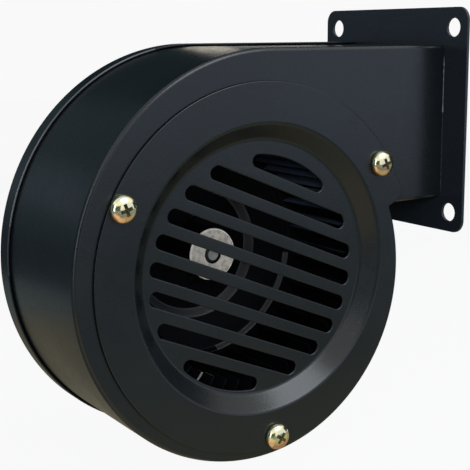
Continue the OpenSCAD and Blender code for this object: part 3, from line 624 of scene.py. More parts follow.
# These are only on nodes that keep their own shape
plated(
    "dark_steel", (0.06, 0.06, 0.062), (0.09, 0.085, 0.08),
    pits=(0.02, 0.02, 0.02), amount=0.4, rough=(0.3, 0.5), metal=0.8, bump=0.08)
plated(
    "core_steel", (0.2, 0.2, 0.205), (0.16, 0.15, 0.145),
    pits=(0.08, 0.06, 0.05), amount=0.5, rough=(0.35, 0.55), metal=0.8)
plated(
    "copper", (0.55, 0.22, 0.08), (0.42, 0.15, 0.05),
    pits=(0.2, 0.07, 0.03), amount=0.5, rough=(0.2, 0.36), grain=1200,
    metal=0.7, bump=0.3, depth=0.0003)
plated(
    "rotor_alloy", (0.55, 0.56, 0.57), (0.47, 0.48, 0.49),
    pits=(0.25, 0.25, 0.25), amount=0.4, rough=(0.35, 0.55), metal=0.8, bump=0.15)
plated(
    "bearing_steel", (0.6, 0.61, 0.62), (0.55, 0.56, 0.58),
    pits=(0.4, 0.4, 0.4), amount=0.15, rough=(0.08, 0.18), metal=1, bump=0.02)
plated(
    "cage_brass", (0.62, 0.44, 0.16), (0.52, 0.36, 0.13),
    pits=(0.3, 0.2, 0.08), amount=0.3, rough=(0.2, 0.35), metal=1, bump=0.05)
moulded(
    "felt", (0.42, 0.36, 0.25), (0.5, 0.43, 0.31),
    grain=2600, rough=(0.85, 0.98), bump=0.6, depth=0.0004)
moulded(
    "gasket_rubber", (0.05, 0.046, 0.042), (0.075, 0.07, 0.064),
    grain=1900, rough=(0.6, 0.85), bump=0.3, depth=0.0003)
moulded("block_plastic", (0.72, 0.69, 0.6), (0.78, 0.75, 0.67), grain=1500, rough=(0.35, 0.5))
moulded("lead_insulation", (0.5, 0.06, 0.03), (0.58, 0.09, 0.05), grain=1500, rough=(0.35, 0.5))


# Housing


def outline(inset):
    """The scroll and duct seen from the front, from the duct's lower end round to its upper end."""
    floor = DUCT_FLOOR + inset
    radius = LOW_R - inset
    tongue = degrees(asin((floor - LOW_CENTRE[1]) / radius))
    tongue_x = polar(LOW_CENTRE, radius, tongue)[0]
    points = [(DUCT_END + (tongue_x - DUCT_END) * k / 8, floor) for k in range(8)]
    points += arc(LOW_CENTRE, radius, tongue, -90, 72)
    points += arc(SIDE_CENTRE, SIDE_R - inset, -90, -180, 60)[1:]
    points += arc(TOP_CENTRE, TOP_R - inset, 180, 90, 60)[1:]
    length = DUCT_END - TOP_CENTRE[0]
    points += [(TOP_CENTRE[0] + length * k / 12, DUCT_TOP - inset) for k in range(1, 13)]
    return points


def wall_ring(bm, inset, y):
    return loop_at(bm, outline(inset), y)


# Tabs of the pan that the back plate is screwed to: X, Z and the way out from the middle
TABS = [
    (*polar(TOP_CENTRE, TOP_R, 135), 135),
    (*polar(SIDE_CENTRE, SIDE_R, 225), 225),
    (*polar(LOW_CENTRE, LOW_R, -45), -45),
    (FAN_X / 2, DUCT_TOP, 90),
    (-19.2, DUCT_FLOOR, -90),
]


def make_pan():
    """The pressed front pan: wall, rounded front edge and face with the inlet's opening."""
    bm = bmesh.new()
    bend_y = FRONT_Y + PAN_EDGE
    within = PAN_EDGE - SHEET
    bends = quarter(8)
    outer = [(SOFT, PLATE_Y), (0, PLATE_Y - SOFT)]
    outer += [(PAN_EDGE * (1 - cos(a)), bend_y - PAN_EDGE * sin(a)) for a in bends]
    inner = [(PAN_EDGE - within * cos(a), bend_y - within * sin(a)) for a in bends[::-1]]
    inner += [(SHEET, PLATE_Y - SOFT), (SHEET - SOFT, PLATE_Y)]
    outside = [wall_ring(bm, inset, y) for inset, y in outer]
    inside = [wall_ring(bm, inset, y) for inset, y in inner]
    for rings in (outside, inside):
        skin(bm, rings, closed=False)
    strip(bm, inside[-1], outside[0], closed=False)
    opening = circle(AXIS, INLET_R, 160)[::-1]
    near, far = cut_edge(bm, opening, FRONT_Y, FRONT_Y + SHEET, 0.2)
    fill(bm, outside[-1], near)
    fill(bm, inside[0], far)
    end = [r[0] for r in outside] + [r[-1] for r in outside[::-1]]
    end += [r[-1] for r in inside[::-1]] + [r[0] for r in inside]
    bm.faces.new(end)
    tab = rounded_box((-11, -6), (-0.5, 6), 1)
    for x, z, angle in TABS:
        loop = rotated(tab, angle, (x, z))
        sheet(bm, loop, [], PLATE_Y - SHEET, PLATE_Y - 0.02, SOFT)
    piece("scroll_pan", bm, "housing", "housing_paint", ["front_housing"])


def make_back_plate():
    """The back plate with its lip bent forward round the pan."""
    bm = bmesh.new()
    bend_y = BACK_Y - LIP_OUT
    lip_y = BACK_Y - LIP_DEPTH
    bends = quarter(6)
    section = [(LIP_OUT * sin(a), bend_y + LIP_OUT * cos(a)) for a in bends]
    section += [(LIP_OUT, lip_y + 0.2), (LIP_OUT - 0.2, lip_y)]
    section += [(LIP_GAP + 0.1, lip_y), (LIP_GAP, lip_y + 0.1)]
    section += [(LIP_GAP * sin(a), bend_y + LIP_GAP * cos(a)) for a in bends[::-1]]
    rings = [wall_ring(bm, -grow, y) for grow, y in section]
    skin(bm, rings, closed=False)
    opening = circle(AXIS, SHAFT_HOLE_R, 72)[::-1]
    back, front = cut_edge(bm, opening, BACK_Y, PLATE_Y, SOFT)
    fill(bm, rings[0], back)
    fill(bm, rings[-1], front)
    bm.faces.new([r[0] for r in rings] + [r[-1] for r in rings[::-1]])
    plate = piece("back_plate", bm, "housing", "housing_paint", ["rear_housing"])
    # The lip's front edge carries a painted highlight over these arcs, bright, then dimmer
    for finish, (start, end) in (("edge_painted_highlight", LIP_BRIGHT_HIGHLIGHT), ("grey_painted_light_and_shade", LIP_DIM_HIGHLIGHT)):
        refinish(plate, finish, lambda point, normal: point.y < lip_y + 0.12
                 and start <= angle_about(TOP_CENTRE, point) % 360 < end)


def weld_bead(bm):
    """The fine, uneven bead that joins the duct's front to the flange's rear face."""
    low, high, count = DUCT_FLOOR + 1.5, DUCT_TOP - 4, 64
    rows = []
    for k in range(count + 1):
        z = low + (high - low) * k / count
        swell = 0.2 + 0.06 * sin(1.7 * k) + 0.05 * sin(4.3 * k + 1)
        swell += 0.35 * exp(-((z - BEAD_LUMP_Z) / 0.7) ** 2)
        swell *= min(1, 0.15 + 0.4 * min(k, count - k))
        row = [(DUCT_END + 0.1, FRONT_Y + 0.1, z)]
        row += [(DUCT_END - swell * sin(a), FRONT_Y - swell * cos(a), z) for a in quarter(4)]
        rows.append(ring(bm, row))
    skin(bm, rows)
    cap(bm, rows)


def make_flange():
    """The square outlet flange with its four holes, and the bead along the duct."""
    bm = bmesh.new()
    outer = rounded_box((-FLANGE_HALF, -FLANGE_HALF), (FLANGE_HALF, FLANGE_HALF), FLANGE_CORNER, 10)
    mouth = rounded_box((FRONT_Y + SHEET, DUCT_FLOOR + SHEET), (PLATE_Y, DUCT_TOP - SHEET), [0.5, 0, 0, 0.5])
    holes = [circle((y * FLANGE_HOLE_AT, z * FLANGE_HOLE_AT), FLANGE_HOLE_R, 40)
             for y in (-1, 1) for z in (-1, 1)]
    sheet(bm, outer, [mouth] + holes, 0, DUCT_END, 0.2, seen_from_outlet)
    weld_bead(bm)
    # The flange takes a lighter copy of the housing's coat, as painted light
    flange = piece("flange_plate", bm, "housing", "flange_coat_painted_light", ["outlet_flange"], slot="housing_paint")
    # The bead's upper part carries a painted highlight
    refinish(flange, "edge_painted_highlight", lambda point, normal: point.x < DUCT_END - 0.02
             and point.y < FRONT_Y - 0.02 and point.z > BEAD_HIGHLIGHT_Z)


def inside_scroll(x, z, inset):
    if x >= TOP_CENTRE[0] and z >= DUCT_FLOOR + inset:
        return z <= DUCT_TOP - inset
    if x < TOP_CENTRE[0] and z >= TOP_CENTRE[1]:
        centre, radius = TOP_CENTRE, TOP_R
    elif x < SIDE_CENTRE[0]:
        centre, radius = SIDE_CENTRE, SIDE_R
    else:
        centre, radius = LOW_CENTRE, LOW_R
    return hypot(x - centre[0], z - centre[1]) <= radius - inset


def cover_edge():
    """The cover's round edge, cut back where it would pass the pan's flat face."""
    loop = []
    for k in range(360):
        low, high = 50, COVER_R
        if not inside_scroll(*polar(AXIS, high, k), PAN_EDGE):
            for _ in range(24):
                middle = (low + high) / 2
                if inside_scroll(*polar(AXIS, middle, k), PAN_EDGE):
                    low = middle
                else:
                    high = middle
        loop.append(polar(AXIS, high, k))
    return loop


def slot_corner(side, level, across):
    """One rounded end corner of a slot, from its long side to the field's edge or back."""
    field = FIELD_R - SLOT_CORNER
    t = across + level * SLOT_CORNER_AT
    s = side * sqrt(field * field - t * t)
    out = degrees(atan2(t, s))
    flat = 90 * level
    start, end = (flat, out) if side * level < 0 else (out, flat)
    while end < start:
        end += 360
    if end - start > 180:
        start += 360
    return arc((s, t), SLOT_CORNER, start, end, 8)


def slot_loop(k):
    """One air slot, counter-clockwise; the first and the last are bounded by the field's edge."""
    across = (k - SLOT_COUNT // 2) * SLOT_PITCH
    right_low, right_high = slot_corner(1, -1, across), slot_corner(1, 1, across)
    left_high, left_low = slot_corner(-1, 1, across), slot_corner(-1, -1, across)
    if k == SLOT_COUNT - 1:
        edge = degrees(atan2(right_low[-1][1], right_low[-1][0]))
        points = right_low + arc((0, 0), FIELD_R, edge, 180 - edge, 24)[1:-1] + left_low
    elif k == 0:
        edge = degrees(atan2(left_high[-1][1], left_high[-1][0]))
        points = left_high + arc((0, 0), FIELD_R, edge, -180 - edge, 24)[1:-1] + right_high
    else:
        points = right_low + right_high + left_high + left_low
    return rotated(points, SLOT_TILT, FIELD_CENTRE)


def dish(share):
    """Depth across the dished ring, from 0 at its rim to 1 at the panel: a cone with eased ends."""
    ease = 0.2
    slope = 1 / (1 - ease)
    if share < ease:
        return slope * share * share / (2 * ease)
    if share > 1 - ease:
        return 1 - slope * (1 - share) ** 2 / (2 * ease)
    return slope * (share - ease / 2)


def make_cover():
    """The inlet cover: flat rim, dished ring and slotted panel in one pressing."""
    bm = bmesh.new()
    front_rim, back_rim = cut_edge(bm, cover_edge(), COVER_Y, FRONT_Y, COVER_EASE)
    sides = []
    for shift in (0, SHEET):
        rings = []
        for k in range(25):
            share = k / 24
            y = COVER_Y + (PANEL_Y - COVER_Y) * dish(share) + shift
            rings.append(loop_at(bm, circle(AXIS, BEZEL_R - BEZEL_WIDTH * share, 192), y))
        skin(bm, rings)
        sides.append(rings)
    fill(bm, front_rim, sides[0][0])
    fill(bm, back_rim, sides[1][0])
    slots = [cut_edge(bm, slot_loop(k)[::-1], PANEL_Y, PANEL_Y + SHEET, SLOT_EASE)
             for k in range(SLOT_COUNT)]
    fill(bm, sides[0][-1], *[pair[0] for pair in slots])
    fill(bm, sides[1][-1], *[pair[1] for pair in slots])
    cover = piece("inlet_cover", bm, "housing", "housing_paint", ["inlet_grille"])
    # The cover's outer rim is painted near black as painted shade in the gap against the pan
    refinish(cover, "cover_rim_painted_shade", lambda point, normal: radius_about(AXIS, point) > COVER_R - 0.8
             and abs(normal.y) < 0.8)


# Screws


HEAD_FORWARD = Matrix.Rotation(radians(90), 4, "X")
HEAD_BACK = Matrix.Rotation(radians(-90), 4, "X")
HEAD_TO_OUTLET = Matrix.Rotation(radians(90), 4, "Y")


def cross_screw(thread, head, height, length):
    """A round-headed cross-recess screw with its seat at z = 0 and its head upwards."""
    bm = bmesh.new()
    radius, fullness, brim = head / 2, 0.86, 0.27
    profile = [(0, height)]
    for k in range(1, 15):
        a = radians(90 - 90 * k / 14)
        profile.append((radius * cos(a) ** fullness, height * (brim + (1 - brim) * sin(a))))
    profile += [(radius, 0.18 * height), (0.97 * radius, 0.09 * height), (0.9 * radius, 0)]
    profile += [(thread / 2, 0), (thread / 2, -length + 0.5)]
    profile += [(thread / 2 - 0.5, -length), (0, -length)]
    turn(bm, profile, upright, 64, closed=False)
    whole = made_mesh(bm, "screw_body")
    bm = bmesh.new()
    rings = []
    for reach, half, level in ((0.235, 0.066, 1.05), (0.22, 0.06, 0.8), (0.11, 0.045, 0.3)):
        a, b = reach * head, half * head
        cross = [(b, b), (b, a), (-b, a), (-b, b), (-a, b), (-a, -b),
                 (-b, -b), (-b, -a), (b, -a), (b, -b), (a, -b), (a, b)]
        rings.append(loop_at(bm, cross, level * height, upright))
    skin(bm, rings)
    cap(bm, rings)
    screw = cut_from(whole, made_mesh(bm, "screw_recess"))
    # Faces inside the cross recess take the second finish, painted shade in the recess
    for face in screw.polygons:
        x, y, z = face.center / MM
        out = min(1, hypot(x, y) / radius) ** (1 / fullness)
        crown = height * (brim + (1 - brim) * sqrt(1 - out * out))
        face.material_index = 1 if 0.2 * height < z < crown - 0.12 and out < 0.6 else 0
    return screw


def make_screws(name, mesh, spots, finish, node):
    """Copies of one screw at (point, facing, turn) spots, as one piece."""
    bm = bmesh.new()
    for point, facing, angle in spots:
        spin = Matrix.Rotation(radians(angle), 4, "Z")
        add_mesh(bm, mesh, Matrix.Translation(Vector(point) * MM) @ facing @ spin)
    screws = piece(name, bm, "housing", finish, [node], 32)
    screws.data.materials.append(finishes["recess_painted_shade"])
    return screws


def make_cover_screws():
    """The cover's three screws; their heads are painted more orange below, as a painted warm reflection of
    the floor.
    """
    mesh = cross_screw(thread=5, head=9.5, height=3.7, length=9)
    spots = [(axis_spot(COVER_SCREW_R, 34 + 120 * k, COVER_Y), HEAD_FORWARD, angle)
             for k, angle in enumerate((20, 18, 55))]
    screws = make_screws("cover_screws", mesh, spots, "yellow_zinc", "grille_screws")
    # Downward faces of the heads take a painted warm reflection of the floor
    refinish(screws, "zinc_painted_warm_reflection", lambda point, normal: normal.z < -0.14)


def make_back_screws():
    """The screws of the back plate, the motor and the terminal box's lid, and the earth screw."""
    mesh = cross_screw(thread=4, head=8, height=2.8, length=6)
    spots = []
    for k, (tab_x, tab_z, angle) in enumerate(TABS):
        x, z = polar((tab_x, tab_z), -TAB_SCREW_IN, angle)
        spots.append(((x, BACK_Y, z), HEAD_BACK, 25 * k + 10))
    make_screws("plate_screws", mesh, spots, "bright_zinc", "back_plate_screws")

    mesh = cross_screw(thread=4, head=8, height=2.76, length=71)
    spots = [(axis_spot(BOLT_R, 90 * k, MOTOR_END_Y), HEAD_BACK, 33 * k) for k in range(4)]
    make_screws("motor_bolts", mesh, spots, "bright_zinc", "motor_through_bolts")

    mesh = cross_screw(thread=3, head=5.6, height=2.2, length=8)
    spots = [((BOX_X + LID, y, z), HEAD_TO_OUTLET, angle) for (y, z), angle in zip(LID_SCREWS, (-10, 70))]
    make_screws("box_lid_screws", mesh, spots, "bright_zinc", "lid_screws")

    bm = bmesh.new()
    x, y, z = axis_spot(55.9, 285, BACK_Y)
    thick = 1
    mesh = cross_screw(thread=4, head=8, height=2.8, length=7)
    add_mesh(bm, mesh, Matrix.Translation(Vector((x, y + thick, z)) * MM) @ HEAD_BACK)
    washer = eased([(2.2, 0), (5.5, 0), (5.5, thick), (2.2, thick)], 0.15)
    turn(bm, washer, at_spot((x, y, z)), 64)
    earth = piece("earth_screw_and_washer", bm, "housing", "yellow_zinc", ["earth_screw"], 32)
    earth.data.materials.append(finishes["recess_painted_shade"])


# Wheel


def make_wheel_ring():
    bm = bmesh.new()
    section = [(46.9, -42.7), (47, -42.9), (47.3, -43), (50.5, -43), (50.8, -42.9), (50.9, -42.7),
               (50.9, BLADE_FRONT), (46.9, BLADE_FRONT)]
    turn(bm, section, on_wheel, 144)
    piece("wheel_ring", bm, "rotor", "wheel_paint", ["impeller_front_ring"])


def make_blades():
    """The curved blades: their leading faces painted lighter, as painted light, with dust specks, and a
    brighter grey on the front edges of two.
    """
    bm = bmesh.new()
    a, b = 2 * BLADE_IN_R * BLADE_BEND, 2 * BLADE_BEND ** 2
    reach = asin((BLADE_OUT_R ** 2 - BLADE_IN_R ** 2 - b) / hypot(a, b)) + atan2(b, a)
    angles = [-pi / 2 + reach * i / 10 for i in range(11)]
    inner, outer = [[(BLADE_IN_R + radius * cos(t), BLADE_BEND + radius * sin(t)) for t in angles]
                    for radius in (BLADE_BEND - BLADE_HALF, BLADE_BEND + BLADE_HALF)]
    for k in range(BLADE_COUNT):
        loop = [(u, -v) for u, v in rotated(inner + outer[::-1], 360 / BLADE_COUNT * k)]
        front, middle, back = [loop_at(bm, loop, w, on_wheel)
                               for w in (BLADE_FRONT, BLADE_BRIGHT_END, BLADE_BACK)]
        strip(bm, middle, back)
        bm.faces.new(back[::-1])
        sides = strip(bm, front, middle)
        end = bm.faces.new(front)
        if k in BRIGHT_EDGED_BLADES:
            sides[-1].material_index = 1
            end.material_index = 1 if k == BRIGHT_EDGED_BLADES[-1] else 0
    blades = piece("wheel_blades", bm, "rotor", "wheel_paint", ["impeller_blades"])
    blades.data.materials.append(finishes["bright_blade_edge"])

    def leading(point, normal):
        angle = radians(angle_about(AXIS, point))
        return normal.z * cos(angle) - normal.x * sin(angle) > 0.6

    # Leading faces take a lighter coat, painted light where light falls in through the inlet, with dust
    # specks
    refinish(blades, "dusty_blade_painted_light", leading)


def make_wheel_back():
    """The dished back plate of the wheel, with painted highlights on its two steps."""
    bm = bmesh.new()
    line = eased([(9.92, 0), (24.5, 0), (27, -2.5), (40, -5.5), (41.3, BLADE_BACK),
                  (50.9, BLADE_BACK)], 0.7)
    turn(bm, line + [(r, y + 0.8) for r, y in line[::-1]], on_wheel, 144)
    plate = piece("wheel_back", bm, "rotor", "wheel_paint", ["impeller_back_plate"])

    # Picks the inner step all round and the outer step on its lower right, which take a painted highlight
    def rubbed(point, normal):
        radius = radius_about(AXIS, point)
        return 24.2 < radius < 27.2 or 40 < radius < 41.5 and -80 < angle_about(AXIS, point) < -8

    refinish(plate, "grey_painted_light_and_shade", rubbed)


def make_rivets():
    bm = bmesh.new()
    section = [(0, -0.8), (1, -0.75), (1.8, -0.55), (2.2, -0.25), (2.25, -0.01), (1.25, -0.01),
               (1.25, 2.81), (2, 2.81), (1.95, 3.2), (1.5, 3.5), (0.8, 3.6), (0, 3.6)]
    for k in range(6):
        turn(bm, section, at_spot(axis_spot(RIVET_R, 30 + 60 * k, DISH_Y)), 32, closed=False)
    piece("wheel_rivets", bm, "rotor", "wheel_paint", ["impeller_rivets"], slot="dark_steel")


def make_hub():
    """The wheel's hub: a bare mottled face with a painted highlight on its rim, the wheel's dark finish
    behind the face, and painted shade in its bore.
    """
    bm = bmesh.new()
    section = [(3.02, 2.8), (3.02, -15.6), (3.4, -15.6), (3.4, -16.05), (3.55, HUB_FRONT), (9.3, HUB_FRONT),
               (9.65, -16.08), (9.9, -15.7), (9.9, 0.6), (10.1, 0.8), (14.7, 0.8), (14.9, 1), (14.9, 2.6),
               (14.7, 2.8)]
    turn(bm, section, on_wheel, 96)
    hub = piece("wheel_hub", bm, "rotor", "hub_alloy", ["impeller_hub"], 30)
    # Faces behind the hub's face take the wheel's dark finish; those of its bore are darkened as painted
    # shade
    refinish(hub, "wheel_paint", lambda point, normal: point.y > DISH_Y - 15.6
             or radius_about(AXIS, point) < 3.52)
    # The rim's chamfer takes a painted highlight
    refinish(hub, "hub_rim_painted_highlight", lambda point, normal: radius_about(AXIS, point) > 9.4)


def make_shaft():
    """The shaft through wheel and motor, with grooves for its circlips and painted shade on its chamfered
    end.
    """
    bm = bmesh.new()
    nose = [(0, -16.25), (0.9, -16.5), (2.2, -16.5), (2.6, -16.2), (3, -15.7), (3, 3.8), (3.99, 3.8)]
    rest = [(3.99, 5.05), (3.6, 5.05), (3.6, 6), (3.99, 6), (3.99, 13), (5, 13), (5, 62.8),
            (3.99, 62.8), (3.99, 69.8), (3.6, 69.8), (3.6, 70.75), (3.99, 70.75), (3.99, 71.6), (0, 71.6)]
    line = [(r, DISH_Y + w) for r, w in nose] + [(r, BELL_Y + w) for r, w in rest]
    turn(bm, line, count=64, closed=False)
    shaft = piece("shaft", bm, "rotor", "shaft_steel", ["motor_shaft"], 30)
    # The end's chamfer is darkened as painted shade round the shaft's tip
    refinish(shaft, "grey_painted_light_and_shade", lambda point, normal: point.y < DISH_Y - 15.5
             and radius_about(AXIS, point) > 2.3)


# Motor


def make_front_bell():
    bm = bmesh.new()
    section = [(8.5, -2.5), (15.4, -2.5), (15.7, -2.2), (15.7, 0), (40.6, 0), (41.3, 0.2), (41.8, 0.7),
               (42, 1.4), (42, 11.7), (41.7, 12), (40.05, 12), (40.05, 9), (38, 9),
               (38, 4), (14.5, 4), (14.5, 13.5), (11.02, 13.5), (11.02, 6), (8.5, 6)]
    turn(bm, section, on_motor, 128)
    piece("front_bell", bm, "housing", "bell_alloy", ["motor_front_bell"])


def make_shell():
    """The motor's case, with a rolled groove near each end."""
    bm = bmesh.new()
    section = [(39, 9), (40, 9)]
    for groove in (14.9, 60.1):
        for k in range(9):
            a = pi * k / 8
            section.append((40 - 0.45 * sin(a), groove - 1.2 * cos(a)))
    section += [(40, 66), (39, 66)]
    turn(bm, section, on_motor, 128)
    piece("motor_shell", bm, "housing", "motor_paint", ["motor_case"], 50)


def make_rear_bell():
    """The rear bell, with twelve vents round its bearing's collar."""
    bm = bmesh.new()
    count = 128
    section = [(38, 66), (40.05, 66), (40.05, 63), (41.7, 63), (42, 63.3), (42, 73.3),
               (41.8, 74.1), (41.2, 74.7), (40.4, 75)]
    rings = [loop_at(bm, circle((0, 0), r, count), w, on_motor) for r, w in section]
    skin(bm, rings)
    floor_y = MOTOR_END_Y - BELL_FLOOR
    inner = loop_at(bm, circle((0, 0), 38, count), floor_y, along_axis)
    strip(bm, rings[0], inner)
    vent = rounded_box((17.5, -2), (30.5, 2), 1.2, 5)
    vents = [cut_edge(bm, rotated(vent, 15 + 30 * k)[::-1], MOTOR_END_Y, floor_y, 0.35, along_axis)
             for k in range(12)]
    fill(bm, rings[-1], *[pair[0] for pair in vents])
    fill(bm, inner, *[pair[1] for pair in vents])
    turn(bm, [(11.02, 62.3), (14.5, 62.3), (14.5, 71.3), (11.02, 71.3)], on_motor, 64)
    piece("rear_bell", bm, "housing", "bell_alloy", ["motor_rear_bell"])


def make_box():
    """The terminal box, cut to sit on the motor's case, with a post for each screw of its lid."""
    walls = rounded_box(BOX_LOW, BOX_HIGH, BOX_CORNER, 5)
    hollow = rounded_box([v + BOX_WALL for v in BOX_LOW], [v - BOX_WALL for v in BOX_HIGH], 0.8, 3)
    body = bmesh.new()
    levels = ((walls, FAN_X + 32), (walls, BOX_X - 0.3), (inset_loop(walls, 0.3), BOX_X),
              (hollow, BOX_X), (hollow, BOX_FLOOR_X))
    near, far, rim, mouth, bed = [loop_at(body, loop, x, seen_from_outlet) for loop, x in levels]
    skin(body, [near, far, rim])
    fill(body, rim, mouth)
    strip(body, mouth, bed)
    fill(body, bed)
    fill(body, near)
    tool = bmesh.new()
    turn(tool, [(0, 10), (40.02, 10), (40.02, 65), (0, 65)], on_motor, 160, closed=False)
    bm = bmesh.new()
    bm.from_mesh(cut_from(made_mesh(body, "box_walls"), made_mesh(tool, "box_saddle")))
    foot, top = BOX_FLOOR_X - 0.5, BOX_X - 0.05
    post = eased([(1.55, foot), (3.2, foot), (3.2, top), (1.55, top)], 0.1)
    for y, z in LID_SCREWS:
        turn(bm, post, lambda u, v, w: (w, y + u, z + v), 40)
    piece("gland_box", bm, "housing", "box_plastic", ["terminal_box"], 30)


def make_lid():
    """The terminal box's lid, with a fine groove round its face."""
    bm = bmesh.new()
    sides = []
    for corner, levels in ((BOX_CORNER, [(0.2, 0), (0, 0.2), (0, 1.3), (0.2, 1.75), (0.7, LID)]),
                           (5, [(3, LID), (3.2, 1.65), (3.8, 1.65), (4, LID)])):
        loop = rounded_box(BOX_LOW, BOX_HIGH, corner, 5)
        rings = [loop_at(bm, inset_loop(loop, inset), BOX_X + x, seen_from_outlet) for inset, x in levels]
        skin(bm, rings)
        sides.append(rings)
    rim, groove = sides
    fill(bm, rim[-1], groove[0])
    fill(bm, groove[-1])
    fill(bm, rim[0])
    piece("gland_box_lid", bm, "housing", "box_plastic", ["terminal_box_lid"], 30)


def make_gland():
    """The gland's body: a hexagon with eased corners and a bored neck on both sides of it."""
    bm = bmesh.new()
    count, across_flats = 96, 18
    angles = [radians(360 * k / count) for k in range(count)]
    hexagon = [across_flats / 2 / cos(a % (pi / 3) - pi / 6) for a in angles]
    rows = []
    for w, limit in ((0, 10.4), (0, 20), (4.2, 20), (5, 9.3)):
        loop = [(min(r, limit) * cos(a), min(r, limit) * sin(a)) for r, a in zip(hexagon, angles)]
        rows.append(loop_at(bm, loop, w, along_gland))
    for radius, w in ((6, 5), (6, 10.7), (5.7, 11), (4, 11),
                      (4, -8), (5.7, -8), (6, -7.7), (6, 0)):
        rows.append(loop_at(bm, circle((0, 0), radius, count), w, along_gland))
    skin(bm, rows + rows[:1])
    piece("gland_body", bm, "housing", "box_plastic", ["cable_gland"], 30)


def make_gland_cap():
    """The gland's nut, with grip grooves round it; each row is a radius, a level and a groove's depth."""
    bm = bmesh.new()
    section = [(8.6, 5, 0), (9, 5.4, 0.5), (9, 12.6, 0.5), (8.7, 13.4, 0.2), (7.6, 15.2, 0),
               (6.4, 16.6, 0), (5.6, 17, 0), (4.3, 17, 0), (4, 16.7, 0), (4, 12, 0),
               (6.05, 12, 0), (6.05, 5, 0)]
    count, grooves = 216, 18
    angles = [radians(360 * k / count) for k in range(count)]
    rows = []
    for radius, w, depth in section:
        radii = [radius - depth * max(0, cos(grooves * a)) ** 2 for a in angles]
        loop = [(r * cos(a), r * sin(a)) for r, a in zip(radii, angles)]
        rows.append(loop_at(bm, loop, w, along_gland))
    skin(bm, rows + rows[:1])
    piece("gland_cap", bm, "housing", "box_plastic", ["gland_nut"], 40)


def dress_kept_nodes():
    """Finishes for the CAD nodes, which keep their own shape."""
    slots = {part["node"]: part["material_slot"] for part in frame["record"]["subparts"]}
    for name, node in frame["nodes"].items():
        node.data.materials.clear()
        node.data.materials.append(finishes[slots[name]])
        node.data.shade_smooth()
        node.data.set_sharp_from_angle(angle=radians(32))


# Stage


CAMERA_AT = (-0.29325, -0.34111, 0.03312)
YAW = radians(32.458)
PITCH = radians(10.452)
ROLL = radians(-0.353)
LENS = 83.551

MIDDLE = (-0.07, 0, -0.05)
UP = (0, 0, 1)
TO_FRONT = (0, -1, 0)

# Name, centre, facing, width and height, and the light each card gives
CARDS = (
    ("front_card", (0.55, -1.05, 0.13), (-0.5, 0.85, 0), (1.1, 0.6), (0.7, 0.8, 1.01)),
    ("table_card", (0, -0.1, -0.168), UP, (2.6, 2.6), (0.2, 0.245, 0.25)),
    ("back_table_card", (-0.17, 0.13, -0.166), UP, (0.3, 0.26), (0.27, 0.25, 0.18)),
    ("front_table_card", (0.05, -0.145, -0.166), UP, (0.3, 0.15), (0.38, 0.39, 0.26)),
    ("warm_card", (-0.3, -0.15, -0.165), UP, (0.24, 0.16), (0.8, 0.64, 0.4)),
    ("middle_table_card", (-0.135, -0.1, -0.166), UP, (0.09, 0.16), (0.62, 0.52, 0.34)),
    ("under_card", (0.04, 0.03, -0.165), UP, (0.24, 0.2), (0.3, 0.25, 0.15)),
    ("top_card", (-0.3, -0.25, 1.15), (0, 0, -1), (1.7, 1.2), (0.66, 0.77, 0.9)),
    ("side_card", (-0.85, -0.95, 0.05), (0.65, 0.75, 0), (1.5, 0.7), (0.07, 0.085, 0.06)),
    ("back_card", (-0.745, 0.45, 0.4), TO_FRONT, (1.25, 0.9), (0.08, 0.12, 0.135)),
    ("back_low_card", (-0.67, 0.449, -0.11), TO_FRONT, (1.4, 0.12), (0.05, 0.07, 0.085)),
    ("back_band_card", (-0.44, 0.448, 0.085), TO_FRONT, (0.32, 0.13), (0.2, 0.25, 0.3)),
    ("high_card", (0.65, 0.46, 0.475), TO_FRONT, (1.9, 1.28), (0.015, 0.028, 0.032)),
    ("beige_card", (0.245, 0.455, 0.02), TO_FRONT, (0.1, 0.15), (0.95, 0.92, 0.85)),
    ("high_beige_card", (0.178, 0.454, 0.12), TO_FRONT, (0.048, 0.07), (2, 1.84, 1.55)),
    ("right_card", (0.55, 0.456, 0.02), TO_FRONT, (0.6, 0.15), (0.55, 0.56, 0.6)),
    ("dark_right_card", (0.75, -0.2, 0.12), (-1, 0, 0), (0.6, 0.44), (0.02, 0.025, 0.03)),
    ("left_card", (-1.2, -0.1, 0.22), (1, 0, 0), (1.2, 0.9), (0.06, 0.085, 0.095)),
    ("left_strip", (-0.94, -0.49, 0.2), (0.87, 0.49, 0), (0.2, 0.68), (3, 3.7, 4.1)),
)


def make_camera():
    """The camera that took the photo, as fitted to the fan's edges."""
    ahead = Vector((sin(YAW) * cos(PITCH), cos(YAW) * cos(PITCH), -sin(PITCH)))
    right = Vector((cos(YAW), -sin(YAW), 0))
    up = right.cross(ahead)
    across = cos(ROLL) * right + sin(ROLL) * up
    rise = -sin(ROLL) * right + cos(ROLL) * up
    data = bpy.data.cameras.new("photo_camera")
    data.sensor_fit = "HORIZONTAL"
    data.sensor_width = 36
    data.lens = LENS
    data.clip_start = 0.01
    camera = bpy.data.objects.new("photo_camera", data)
    aim = Matrix((across, rise, -ahead)).transposed().to_4x4()
    camera.matrix_world = Matrix.Translation(Vector(CAMERA_AT)) @ aim
    bpy.context.scene.collection.objects.link(camera)
    bpy.context.scene.camera = camera


def plane_at(name, centre, facing, width, height):
    """A flat rectangle in metres that faces a direction."""
    mesh = bpy.data.meshes.new(name)
    w, h = width / 2, height / 2
    mesh.from_pydata([(-w, -h, 0), (w, -h, 0), (w, h, 0), (-w, h, 0)], [], [(0, 1, 2, 3)])
    obj = bpy.data.objects.new(name, mesh)
    aim = Vector(facing).to_track_quat("Z", "Y").to_matrix().to_4x4()
    obj.matrix_world = Matrix.Translation(Vector(centre)) @ aim
    bpy.context.scene.collection.objects.link(obj)
    return obj


